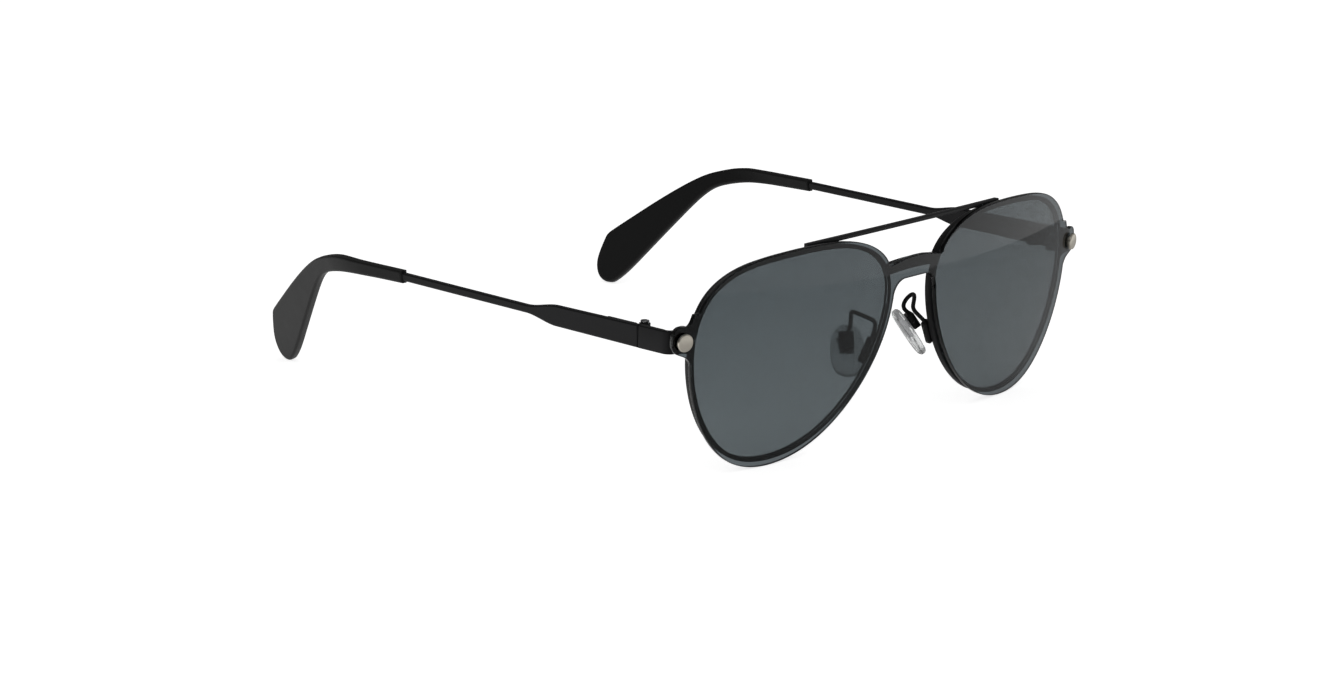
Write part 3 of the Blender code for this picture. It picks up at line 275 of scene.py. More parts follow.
class EyeglassSizes(bpy.types.PropertyGroup):
    rim_wall: length_property("Rim wall", "Width of the rim seen from the front", 0.9)
    rim_depth: length_property("Rim depth", "Depth of the rim from front to back", 1.6)
    rim_edge: length_property("Rim edge", "Radius of the rim's outer edges", 0.25)
    lens_thickness: length_property("Clear lens", "Thickness of the clear lenses", 0.8)
    tint_thickness: length_property("Tinted plate", "Thickness of the tinted plate", 1.1)
    tint_edge: length_property("Plate edge", "Radius of the tinted plate's edges", 0.22)
    stud_diameter: length_property("Stud", "Diameter of the stud heads", 3.8)
    stud_head: length_property("Stud head", "Height of the stud heads", 0.65)
    temple_thickness: length_property("Temple", "Thickness of the metal temples", 1.3)
    temple_edge: length_property("Temple edge", "Radius of the temples' edges", 0.38)
    tip_thickness: length_property("Tip", "Thickness of the temple tips", 2.1)
    tip_edge: length_property("Tip edge", "Radius of the tips' edges", 0.55)
    arm_wire: length_property("Pad arm", "Diameter of the wire of the pad arms", 0.95)
    pad_thickness: length_property("Nose pad", "Thickness of the nose pads", 1.8)
    pad_edge: length_property("Pad edge", "Radius of the nose pads' edges", 0.8)
    edge_steps: IntProperty(
        name="Edge steps", description="Faces round each rounded edge", default=4, min=2, max=8)
    curve_steps: IntProperty(
        name="Curve steps", description="Points between two corners of an outline",
        default=14, min=4, max=24)


def colour_property(name, description, default):
    return FloatVectorProperty(
        name=name, description=description, default=default, size=3, subtype="COLOR", min=0, max=1)


class EyeglassFinishes(bpy.types.PropertyGroup):
    metal: colour_property("Metal", "Black lacquer of the frame", (0.008, 0.008, 0.009))
    tip: colour_property("Tips", "Black plastic of the temple tips", (0.008, 0.008, 0.008))
    stud: colour_property("Studs", "Pale metal of the clip's studs", (0.64, 0.60, 0.52))
    steel: colour_property("Steel", "Plated screws, magnets and inserts", (0.42, 0.42, 0.43))
    lens: colour_property("Clear lens", "Clear lenses", (0.93, 0.95, 0.95))
    tint: colour_property("Tint", "Smoke low on the tinted plate", (0.107, 0.124, 0.132))
    tint_top: colour_property("Tint, top", "Smoke high on the plate", (0.070, 0.084, 0.091))
    pad: colour_property("Pads", "Silicone of the nose pads", (0.88, 0.89, 0.89))
    metal_roughness: FloatProperty(
        name="Metal gloss", description="Roughness of the lacquer", default=0.38, min=0, max=1)
    tip_roughness: FloatProperty(
        name="Tip gloss", description="Roughness of the tips", default=0.5, min=0, max=1)


class EyeglassStudio(bpy.types.PropertyGroup):
    floor: colour_property("Floor", "Colour of the floor", (0.86, 0.86, 0.86))
    key_power: FloatProperty(
        name="Key light", description="Power of the large soft light", default=1.1,
        unit="POWER")
    fill_power: FloatProperty(
        name="Fill light", description="Power of the light from the other side",
        default=0.55, unit="POWER")
    surround: FloatProperty(
        name="Surround", description="Strength of the even light from all round", default=0.32)
    focal_length: FloatProperty(
        name="Focal length", description="Focal length of the camera in millimetres",
        default=102.55)


# Outlines


def front_depth(x, z):
    """Y of the middle of the rims at this place on the front."""
    return APEX_Y + x * x / (2 * FRONT_CURVE) + (z - APEX_Z) ** 2 / (2 * UPRIGHT_CURVE)


def on_front(x, z, depth):
    """A point on the curved front, depth behind the middle of the rims."""
    back = Vector((-x / FRONT_CURVE, 1, -(z - APEX_Z) / UPRIGHT_CURVE)).normalized()
    return Vector((x, front_depth(x, z), z)) + back * depth


def seat_on_front(x, z, depth, lean=0.0):
    """A frame on the front face at (x, z): its Z is forward along the normal, its Y is up."""
    back = (on_front(x, z, 1) - on_front(x, z, 0)).normalized()
    right = Vector((0, 0, 1)).cross(-back).normalized()
    up = (-back).cross(right)
    turn = Matrix((right, up, -back)).transposed().to_4x4()
    return Matrix.Translation(on_front(x, z, depth)) @ turn @ Matrix.Rotation(lean, 4, "Z")


def smooth_points(corners, steps, closed=True):
    """Points of a uniform cubic B-spline through the middle of these corners."""
    if not closed:
        corners = [corners[0]] * 2 + list(corners) + [corners[-1]] * 2
    count = len(corners)
    spans = range(count) if closed else range(1, count - 2)
    points = []
    for i in spans:
        a, b, c, d = (Vector(corners[(i + k) % count]) for k in (-1, 0, 1, 2))
        for step in range(steps):
            t = step / steps
            points.append(
                ((1 - t) ** 3 * a + (3 * t**3 - 6 * t**2 + 4) * b
                 + (3 * t + 3 * t**2 - 3 * t**3 + 1) * c + t**3 * d) / 6)
    if not closed:
        points.append(Vector(corners[-1]))
    return points


def through_points(corners, steps):
    """Points of an open curve that passes through these corners."""
    ends = [2 * corners[0] - corners[1]] + list(corners) + [2 * corners[-1] - corners[-2]]
    points = []
    for i in range(1, len(ends) - 2):
        a, b, c, d = ends[i - 1:i + 3]
        for step in range(steps):
            t = step / steps
            points.append(
                0.5 * (2 * b + (c - a) * t + (2 * a - 5 * b + 4 * c - d) * t * t
                       + (3 * b - a - 3 * c + d) * t**3))
    return points + [corners[-1]]


def lens_outline(shares, centre_x, width, height, steps):
    """A lens shape fitted to this box, anticlockwise seen from the front."""
    loop = smooth_points(shares, steps)
    low = Vector((min(p.x for p in loop), min(p.y for p in loop)))
    high = Vector((max(p.x for p in loop), max(p.y for p in loop)))
    middle = (low + high) / 2
    size = high - low
    return [
        Vector((centre_x + (p.x - middle.x) / size.x * width,
                LENS_CENTRE_Z + (p.y - middle.y) / size.y * height))
        for p in loop
    ]


def rim_outline(steps, inset=0.0):
    return inset_loop(lens_outline(RIM_SHARES, RIM_CENTRE_X, RIM_WIDTH, RIM_HEIGHT, steps), inset)


def inset_loop(loop, inset):
    """Moves the sides of an anticlockwise loop towards its inside, with mitred corners."""
    moved = []
    for i, point in enumerate(loop):
        before = (point - loop[i - 1]).normalized()
        after = (loop[(i + 1) % len(loop)] - point).normalized()
        sideways = Vector((-before.y - after.y, before.x + after.x))
        moved.append(point + sideways * inset / max(1 + before.dot(after), 0.5))
    return moved


def spaced(loop, gap):
    """The loop without the points that crowd the ones before them."""
    kept = [loop[0]]
    for point in loop[1:]:
        if (point - kept[-1]).length > gap and (point - loop[0]).length > gap:
            kept.append(point)
    return kept


def evenly(start, end, steps):
    """Values at even steps from start to end, both included."""
    return [start + (end - start) * i / steps for i in range(steps + 1)]


def arc(centre, radius, start, end, steps):
    """Points of an arc about centre, from one angle to another in degrees."""
    return [Vector((centre[0] + radius * math.cos(a), centre[1] + radius * math.sin(a)))
            for a in map(math.radians, evenly(start, end, steps))]


def circle(radius, steps):
    return arc((0, 0), radius, 0, 360, steps)[:-1]


def crossing(loop, axis, value, keep):
    """The other coordinate where the loop crosses this value, on the side that keep accepts."""
    other = 1 - axis
    for i, start in enumerate(loop):
        end = loop[(i + 1) % len(loop)]
        if keep(start) and (start[axis] - value) * (end[axis] - value) <= 0 and start != end:
            share = (value - start[axis]) / ((end[axis] - start[axis]) or 1)
            return start[other] + (end[other] - start[other]) * share
    raise ValueError("the outline doesn't reach this place")


def half_tint_outline(steps):
    """The tinted sheet's outline on the left, from the nose arch round the lens to the web."""
    lobe = lens_outline(TINT_SHARES, TINT_CENTRE_X, TINT_WIDTH, TINT_HEIGHT, steps)
    root = EAR_REACH - EAR_LENGTH
    ear = [Vector((root + along * EAR_LENGTH, STUD_Z + rise * EAR_HEIGHT))
           for along, rise in EAR_SHARES]
    nose = TINT_CENTRE_X - TINT_WIDTH / 2
    corner_z = NOSE_ARCH_Z - NOSE_ARCH_RADIUS
    arch = arc((nose - NOSE_ARCH_RADIUS, corner_z), NOSE_ARCH_RADIUS, 90, 0, 2 * steps)
    under_ear = [p for p in lobe if p.y < (ear[0].y if p.x > TINT_CENTRE_X else corner_z)]
    over_ear = [p for p in lobe if p.y > WEB_TOP_Z or (p.x > TINT_CENTRE_X and p.y > ear[-1].y)]
    web = [over_ear[-1]] + [
        Vector((share * WEB_HALF_WIDTH, WEB_TOP_Z + drop * WEB_DROP)) for share, drop in WEB_SHARES]
    return [*arch, *under_ear, *smooth_points(ear, steps // 2, closed=False), *over_ear,
            *through_points(web, steps // 2)[1:]]


def temple_middle(y):
    """Height of the temple's middle line at this y: level, then rising a little to the tip."""
    share = (y - WIRE_FRONT_Y) / (SLEEVE_FRONT_Y - WIRE_FRONT_Y)
    return TEMPLE_Z + WIRE_RISE * min(max(share, 0), 1)


def temple_half_height(y):
    """Half the height of the temple at this y: a blade, a neck and a wire."""
    if y <= BLADE_REAR_Y:
        share = (y - TEMPLE_FRONT_Y) / (BLADE_REAR_Y - TEMPLE_FRONT_Y)
        return (BLADE_HEIGHT + (BLADE_REAR_HEIGHT - BLADE_HEIGHT) * share) / 2
    share = min((y - BLADE_REAR_Y) / (WIRE_FRONT_Y - BLADE_REAR_Y), 1)
    ease = share * share * (3 - 2 * share)
    return (BLADE_REAR_HEIGHT + (WIRE_HEIGHT - BLADE_REAR_HEIGHT) * ease) / 2


def tip_axes():
    """The direction in which the flat paddle runs and the one across it, as (y, z)."""
    along = Vector((math.cos(TIP_DOWN_ANGLE), -math.sin(TIP_DOWN_ANGLE)))
    return along, Vector((math.sin(TIP_DOWN_ANGLE), math.cos(TIP_DOWN_ANGLE)))


def folded(y, z, out):
    """A point of the flat tip, out from the temple's middle, once the tip is bent inwards."""
    along, across = tip_axes()
    fold = Vector((TIP_BEND_Y, TIP_BEND_Z)) - along * FOLD_AHEAD
    flat = Vector((y, z)) - fold
    reach = flat.dot(along)
    if reach <= -FOLD_HALF:
        return Vector((TEMPLE_X + out, y, z))
    radius = 2 * FOLD_HALF / TIP_IN_ANGLE
    turn = TIP_IN_ANGLE * min((reach + FOLD_HALF) / (2 * FOLD_HALF), 1)
    beyond = max(reach - FOLD_HALF, 0)
    inwards = radius * (1 - math.cos(turn)) + beyond * math.sin(turn) - out * math.cos(turn)
    reach = -FOLD_HALF + radius * math.sin(turn) + beyond * math.cos(turn) + out * math.sin(turn)
    place = fold + along * reach + across * flat.dot(across)
    return Vector((TEMPLE_X - inwards, place.x, place.y))


def pad_frame():
    """At the pad screw: X across the pad, Y up its length, Z away from the nose."""
    down = Vector(PAD_DOWN_DIRECTION).normalized()
    nose = Vector(PAD_NOSE_DIRECTION)
    nose = (nose - down * nose.dot(down)).normalized()
    turn = Matrix(((-down).cross(-nose), -down, -nose)).transposed().to_4x4()
    x, behind, rise = PAD_BOX_PLACE
    return Matrix.Translation((x, front_depth(x, STUD_Z) + behind, LENS_CENTRE_Z + rise)) @ turn


# Meshes


@contextmanager
def editing(mesh):
    """The mesh as a bmesh, written back at the end."""
    work = bmesh.new()
    work.from_mesh(mesh)
    yield work
    work.to_mesh(mesh)
    work.free()


def mesh_of(name, points, faces, marks=None):
    """A closed mesh with its faces outwards; marks are 1 on the rounded edges, which the finishes
    rub lighter on the frame and darken with painted shade on the tinted plate, and 0 elsewhere.
    """
    mesh = bpy.data.meshes.new(name)
    mesh.from_pydata([Vector(p) * MM for p in points], [], faces)
    if marks is not None:
        mesh.attributes.new("edge", "FLOAT", "POINT").data.foreach_set("value", marks)
    with editing(mesh) as work:
        bmesh.ops.remove_doubles(work, verts=work.verts, dist=MERGE_DISTANCE)
        bmesh.ops.recalc_face_normals(work, faces=work.faces)
    return mesh


def ring_faces(rows, count):
    """Faces between rows of count points, closed round every row."""
    return [
        (start + i, start + (i + 1) % count, start + count + (i + 1) % count, start + count + i)
        for start in range(0, (rows - 1) * count, count) for i in range(count)]


def inner_points(loop, spacing):
    """Points of a staggered grid inside the loop, clear of its edge."""
    edge = np.array([tuple(p) for p in loop])
    ends = np.roll(edge, -1, axis=0)
    low, high = edge.min(0), edge.max(0)
    rows = np.arange(low[1], high[1], spacing * GRID_ROWS)
    grid = np.array([(x + (i % 2) * spacing / 2, y)
                     for i, y in enumerate(rows) for x in np.arange(low[0], high[0], spacing)])
    crosses = (edge[None, :, 1] > grid[:, None, 1]) != (ends[None, :, 1] > grid[:, None, 1])
    rise = np.where(ends[:, 1] == edge[:, 1], 1, ends[:, 1] - edge[:, 1])
    reach = edge[None, :, 0] + (grid[:, None, 1] - edge[None, :, 1]) * (
        (ends[:, 0] - edge[:, 0]) / rise)[None, :]
    inside = (crosses & (grid[:, None, 0] < reach)).sum(1) % 2 == 1
    grid, along = grid[inside], ends - edge
    offset = grid[:, None] - edge
    share = np.clip((offset * along).sum(2) / (along ** 2).sum(1), 0, 1)
    apart = np.linalg.norm(offset - share[..., None] * along, axis=2).min(1)
    return [Vector(p) for p in grid[apart > GRID_CLEARANCE * spacing]]


def plate_mesh(name, outline, thickness, edge, spacing, place, steps):
    """A closed plate with rounded edges. place turns (across, up, depth) into a point."""
    half = thickness / 2
    quarter = [(edge * 1.15, -half)] + [
        (edge * (1 - math.sin(t)), -half + edge * (1 - math.cos(t)))
        for t in evenly(0, math.pi / 2, steps)]
    section = quarter + [(inset, -depth) for inset, depth in reversed(quarter)]
    count = len(outline)
    points, marks = [], []
    for inset, depth in section:
        points += [place(p.x, p.y, depth) for p in inset_loop(outline, inset)]
        marks += [1.0 if inset < edge * 0.9 else 0.0] * count
    faces = ring_faces(len(section), count)
    cap = inset_loop(outline, section[0][0])
    inside = inner_points(cap, spacing)
    triangles, origins = delaunay_2d_cdt(cap + inside, [], [list(range(count))], 1, 1e-6)[2:4]
    last = (len(section) - 1) * count
    for depth, edge_start in ((-half, 0), (half, last)):
        first_inner = len(points)
        points += [place(p.x, p.y, depth) for p in inside]
        marks += [0.0] * len(inside)
        for triangle in triangles:
            corners = [origins[i][0] for i in triangle]
            faces.append([edge_start + c if c < count else first_inner + c - count
                          for c in corners])
    return mesh_of(name, points, faces, marks)


def loft_mesh(name, sections):
    """A closed skin over sections that all have as many points."""
    count = len(sections[0])
    points = [p for section in sections for p in section]
    ends = [list(range(count)), list(range(len(points) - count, len(points)))]
    return mesh_of(name, points, ends + ring_faces(len(sections), count))


def rounded_rectangle(half_width, half_height, radius, steps):
    """A loop of points round a rectangle with rounded corners."""
    loop = []
    for turn, (x, y) in enumerate(((1, 1), (-1, 1), (-1, -1), (1, -1))):
        centre = (x * (half_width - radius), y * (half_height - radius))
        loop += arc(centre, radius, 90 * turn, 90 * turn + 90, steps)
    return loop


def rounded_box(name, size, edge, place):
    """A box with rounded edges, its middle and turn given by place."""
    mesh = bpy.data.meshes.new(name)
    with editing(mesh) as work:
        bmesh.ops.create_cube(work, size=1)
        bmesh.ops.scale(work, vec=size, verts=work.verts)
        if edge:
            bmesh.ops.bevel(work, geom=work.edges[:], offset=edge, segments=4, profile=0.5,
                            affect="EDGES", clamp_overlap=True)
        bmesh.ops.transform(work, matrix=Matrix.Scale(MM, 4) @ place, verts=work.verts)
    return mesh


def softened(node):
    """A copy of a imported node's mesh, merged, with its sharp edges rounded."""
    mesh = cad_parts[node].data.copy()
    flat, square = math.radians(2), math.radians(50)
    with editing(mesh) as work:
        bmesh.ops.remove_doubles(work, verts=work.verts, dist=MERGE_DISTANCE)
        bmesh.ops.dissolve_limit(work, angle_limit=flat, verts=work.verts[:], edges=work.edges[:])
        sharp = [e for e in work.edges if e.is_manifold and e.calc_face_angle() > square]
        bmesh.ops.bevel(work, geom=sharp, offset=BLOCK_EDGE * MM, segments=2, profile=0.5,
                        affect="EDGES")
    return mesh


def helper(name, data):
    obj = bpy.data.objects.new(name, data)
    bpy.context.scene.collection.objects.link(obj)
    return obj


def taken(obj):
    """The evaluated shape of a helper object as a plain mesh. The helper is removed."""
    bpy.context.view_layer.update()
    graph = bpy.context.evaluated_depsgraph_get()
    mesh = bpy.data.meshes.new_from_object(obj.evaluated_get(graph))
    bpy.data.objects.remove(obj)
    return mesh


def cut(mesh, other):
    """The mesh with the other one cut out of it."""
    obj, tool = helper("work", mesh), helper("tool", other)
    change = obj.modifiers.new("change", "BOOLEAN")
    change.operation = "DIFFERENCE"
    change.solver = "EXACT"
    change.object = tool
    result = taken(obj)
    bpy.data.objects.remove(tool)
    return result


def mirrored(mesh):
    copy = mesh.copy()
    copy.transform(Matrix.Scale(-1, 4, (1, 0, 0)))
    copy.flip_normals()
    return copy


def finished(name, mesh, slot, body, *nodes, smooth=35):
    """Shows a finished mesh as a piece on its body, in the finish of its slot."""
    mesh.name = name
    mesh.materials.clear()
    mesh.materials.append(finish_of(slot))
    mesh.shade_smooth()
    mesh.set_sharp_from_angle(angle=math.radians(smooth))
    piece = helper(name, mesh)
    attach(piece, body)
    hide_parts(*nodes)


def both_sides(name, mesh, slot, body, node, smooth=35):
    """Shows the left mesh and its mirror image. A body named for its side is given with {}."""
    for side, sign in SIDES:
        own = mesh if sign > 0 else mirrored(mesh)
        finished(f"{side}_{name}", own, slot, body.format(side), f"{side}_{node}", smooth=smooth)


def joined(meshes):
    result = bpy.data.meshes.new("joined")
    with editing(result) as work:
        for mesh in meshes:
            work.from_mesh(mesh)
    return result


# Node trees


def put(tree, kind, inputs=None, **settings):
    """Adds a node with these settings, and feeds its inputs."""
    node = tree.nodes.new(kind)
    for key, value in settings.items():
        setattr(node, key, value)
    feed(tree, node, inputs or {})
    return node


def feed(tree, node, inputs):
    """Gives each input its value, or links it where the value is another node's output."""
    for key, value in inputs.items():
        if isinstance(value, bpy.types.NodeSocket):
            tree.links.new(value, node.inputs[key])
        else:
            node.inputs[key].default_value = value


def new_group(kind, name, inputs, outputs):
    """A node group with these sockets, and the values that come in."""
    tree = bpy.data.node_groups.new(name, kind)
    for label, socket, *default in inputs:
        made = tree.interface.new_socket(label, in_out="INPUT", socket_type="NodeSocket" + socket)
        if default:
            made.default_value = default[0]
    for label, socket in outputs:
        tree.interface.new_socket(label, in_out="OUTPUT", socket_type="NodeSocket" + socket)
    return tree, put(tree, "NodeGroupInput").outputs


def shared(build):
    """The node group of this function, built when it is first asked for."""
    name = build.__name__
    return bpy.data.node_groups.get(name) or build(name)


def shape_group(name, *inputs):
    geometry = ("Geometry", "Geometry")
    return new_group("GeometryNodeTree", name, (geometry, *inputs), (geometry,))


def painted(tree, shape, material):
    """Ends a tree: its instances are made real and take the material."""
    real = put(tree, "GeometryNodeRealizeInstances", {0: shape})
    paint = put(tree, "GeometryNodeSetMaterial",
                {"Geometry": real.outputs[0], "Material": material})
    put(tree, "NodeGroupOutput", {0: paint.outputs[0]})
    return tree


def sweep_along_path(name):
    """Sweeps a profile along a path: for rims, wires and turned pieces."""
    tree, given = shape_group(
        name, ("Profile", "Object"), ("Level Path", "Bool"), ("Fill Ends", "Bool"),
        ("Weld Distance", "Float"), ("Material", "Material"))
    level, free = (
        put(tree, "GeometryNodeSetCurveNormal", {"Curve": given["Geometry"]}, mode=mode)
        for mode in ("Z_UP", "MINIMUM_TWIST"))
    path = put(tree, "GeometryNodeSwitch", {
        "Switch": given["Level Path"], "False": free.outputs[0], "True": level.outputs[0],
    }, input_type="GEOMETRY")
    profile = put(tree, "GeometryNodeObjectInfo", {"Object": given["Profile"]})
    sweep = put(tree, "GeometryNodeCurveToMesh", {
        "Curve": path.outputs[0], "Profile Curve": profile.outputs["Geometry"],
        "Fill Caps": given["Fill Ends"]})
    weld = put(tree, "GeometryNodeMergeByDistance", {
        "Geometry": sweep.outputs[0], "Distance": given["Weld Distance"]})
    return painted(tree, weld.outputs[0], given["Material"])


def set_at_places(name):
    """Sets one object at every point, turned by the point's attribute: studs and screws."""
    tree, given = shape_group(
        name, ("Piece", "Object"), ("Scale", "Float"), ("Material", "Material"))
    piece = put(tree, "GeometryNodeObjectInfo", {"Object": given["Piece"]})
    turn = put(tree, "GeometryNodeInputNamedAttribute", {"Name": "turn"},
               data_type="FLOAT_VECTOR")
    rotation = put(tree, "FunctionNodeEulerToRotation", {0: turn.outputs["Attribute"]})
    spread = put(tree, "GeometryNodeInstanceOnPoints", {
        "Points": given["Geometry"], "Instance": piece.outputs["Geometry"],
        "Rotation": rotation.outputs[0], "Scale": given["Scale"]})
    return painted(tree, spread.outputs[0], given["Material"])


def run_tree(obj, tree, **values):
    """Runs a tree on a helper object with its inputs set by name, and returns the mesh."""
    modifier = obj.modifiers.new("nodes", "NODES")
    modifier.node_group = tree
    for item in tree.interface.items_tree:
        key = item.name.lower().replace(" ", "_")
        if item.in_out == "INPUT" and key in values:
            modifier[item.identifier] = values[key]
    return taken(obj)


def curve_of(name, points, closed):
    data = bpy.data.curves.new(name, "CURVE")
    data.dimensions = "3D"
    spline = data.splines.new("POLY")
    spline.points.add(len(points) - 1)
    spline.use_cyclic_u = closed
    for point, place in zip(spline.points, points):
        point.co = (*(Vector(place).to_3d() * MM), 1)
    return helper(name, data)


def swept(path, profile, slot, closed=False, level=False, closed_profile=True):
    """Sweeps profile points (out, down) along path points, through Geometry Nodes."""
    shape = curve_of("profile", profile, closed_profile)
    mesh = run_tree(
        curve_of("path", path, closed), shared(sweep_along_path), profile=shape, level_path=level,
        fill_ends=not closed, weld_distance=WELD_DISTANCE, material=finish_of(slot))
    bpy.data.objects.remove(shape)
    return mesh


def turned(profile, steps, slot):
    """A turned piece about Z from (radius, height) points, top centre to bottom centre."""
    section = [(radius - LATHE_RADIUS, -height) for radius, height in profile]
    return outward(swept(circle(LATHE_RADIUS, steps), section, slot, closed=True, level=True,
                         closed_profile=False))


def outward(mesh):
    """The mesh without faces that have no area, and with the others facing outwards."""
    with editing(mesh) as work:
        bmesh.ops.dissolve_degenerate(work, dist=MERGE_DISTANCE, edges=work.edges[:])
        bmesh.ops.recalc_face_normals(work, faces=work.faces)
    return mesh


def set_at(mesh, places, slot):
    """Copies of a mesh at these frames, through Geometry Nodes."""
    template = helper("template", mesh)
    points = bpy.data.meshes.new("places")
    points.from_pydata([place.translation * MM for place in places], [], [])
    turns = points.attributes.new("turn", "FLOAT_VECTOR", "POINT")
    for item, place in zip(turns.data, places):
        item.vector = place.to_euler()
    result = run_tree(helper("places", points), shared(set_at_places), piece=template,
                      scale=1.0, material=finish_of(slot))
    bpy.data.objects.remove(template)
    return result


# Finishes


def calc(tree, operation, *values):
    return put(tree, "ShaderNodeMath", dict(enumerate(values)), operation=operation).outputs[0]


def mapped(tree, value, *limits):
    """The value moved from the range of the first two limits to that of the last two."""
    labels = ("From Min", "From Max", "To Min", "To Max")
    node = put(tree, "ShaderNodeMapRange", {"Value": value, **dict(zip(labels, limits))})
    return node.outputs["Result"]


def noise(tree, vector, scale, detail):
    node = put(tree, "ShaderNodeTexNoise", {"Vector": vector, "Scale": scale, "Detail": detail})
    return node.outputs[0]


def mix_colour(tree, factor, first, second):
    node = put(tree, "ShaderNodeMix", {"Factor": factor, "A": first, "B": second},
               data_type="RGBA")
    return node.outputs["Result"]


def fine_grain(name):
    """Fine grain: a roughness that varies a little and a height for Bump."""
    tree, given = new_group("ShaderNodeTree", name, (
        ("Vector", "Vector"), ("Grain Size", "Float", 0.0002), ("Roughness", "Float", 0.4),
        ("Spread", "Float", 0.08)), (("Roughness", "Float"), ("Height", "Float")))
    scale = calc(tree, "DIVIDE", 1.0, given["Grain Size"])
    fine = noise(tree, given["Vector"], scale, 3)
    broad = noise(tree, given["Vector"], calc(tree, "MULTIPLY", scale, BROAD_GRAIN), 2)
    both = calc(tree, "ADD", calc(tree, "MULTIPLY", fine, FINE_SHARE),
                calc(tree, "MULTIPLY", broad, 1 - FINE_SHARE))
    shift = calc(tree, "MULTIPLY", calc(tree, "SUBTRACT", both, 0.5), given["Spread"])
    put(tree, "NodeGroupOutput", {
        "Roughness": calc(tree, "ADD", given["Roughness"], shift), "Height": fine})
    return tree


def rubbed_edges(name):
    """Edges rubbed a little lighter on the frame, the tinted plate's edges darkened as painted
    shade, and a little dust: a colour that varies.
    """
    tree, given = new_group("ShaderNodeTree", name, (
        ("Vector", "Vector"), ("Colour", "Color", (0.1, 0.1, 0.1, 1)),
        ("Rubbed Colour", "Color", (0.3, 0.3, 0.3, 1)), ("Amount", "Float", 0.3),
        ("Dust Colour", "Color", (0.5, 0.5, 0.5, 1)), ("Dust", "Float", 0.03)),
        (("Colour", "Color"),))
    edge = put(tree, "ShaderNodeAttribute", attribute_name="edge").outputs["Fac"]
    # Along the marked edges: rubbed lighter on the frame; on the tinted plate a painted shade that
    # darkens the edges into a dark outline.
    patches = calc(tree, "MULTIPLY", edge, noise(tree, given["Vector"], EDGE_PATCH_SCALE, 4))
    rub_and_shade = calc(tree, "MULTIPLY", patches, given["Amount"])
    worn_and_shaded = mix_colour(tree, rub_and_shade, given["Colour"], given["Rubbed Colour"])
    dots = noise(tree, given["Vector"], DUST_SCALE, 2)
    specks = calc(tree, "GREATER_THAN", dots, DUST_FREE)
    share = calc(tree, "MULTIPLY", specks, given["Dust"])
    put(tree, "NodeGroupOutput", {"Colour": mix_colour(tree, share, worn_and_shaded, given["Dust Colour"])})
    return tree


def faded_tint(tree, place, low, high):
    """The plate's tint, deeper towards the top and where it is seen at a slant."""
    height = put(tree, "ShaderNodeSeparateXYZ", {"Vector": place}).outputs["Z"]
    fade = mapped(tree, height, *(z * MM for z in TINT_FADE))
    facing = put(tree, "ShaderNodeLayerWeight").outputs["Facing"]
    deeper = put(tree, "ShaderNodeVectorMath", {
        0: mix_colour(tree, fade, (*low, 1), (*high, 1)),
        "Scale": mapped(tree, facing, *TINT_SLANT)}, operation="SCALE")
    return deeper.outputs["Vector"]


def build_finish(name, colour, roughness, grain, spread, bump, wear=0.0, rubbed=(0.3, 0.3, 0.3),
                 dust=0.0, high_colour=None, **sockets):
    """A material whose colour and roughness vary through the shared groups."""
    made = bpy.data.materials.new(name)
    made.use_nodes = True
    made.diffuse_color = (*colour, 1)
    tree = made.node_tree
    shader = tree.nodes["Principled BSDF"]
    place = put(tree, "ShaderNodeTexCoord").outputs["Object"]
    fine = put(tree, "ShaderNodeGroup", {
        "Vector": place, "Grain Size": grain * MM, "Roughness": roughness, "Spread": spread,
    }, node_tree=shared(fine_grain)).outputs
    if bump:
        relief = put(tree, "ShaderNodeBump", {
            "Strength": bump, "Distance": grain * MM * 0.3, "Height": fine["Height"]})
        feed(tree, shader, {"Normal": relief.outputs["Normal"]})
    base = faded_tint(tree, place, colour, high_colour) if high_colour else (*colour, 1)
    worn_and_shaded = put(tree, "ShaderNodeGroup", {
        "Vector": place, "Colour": base, "Rubbed Colour": (*rubbed, 1), "Amount": wear,
        "Dust": dust}, node_tree=shared(rubbed_edges))
    feed(tree, shader, {"Roughness": fine["Roughness"], "Base Color": worn_and_shaded.outputs["Colour"]})
    feed(tree, shader, {label.replace("_", " "): value for label, value in sockets.items()})
    return made


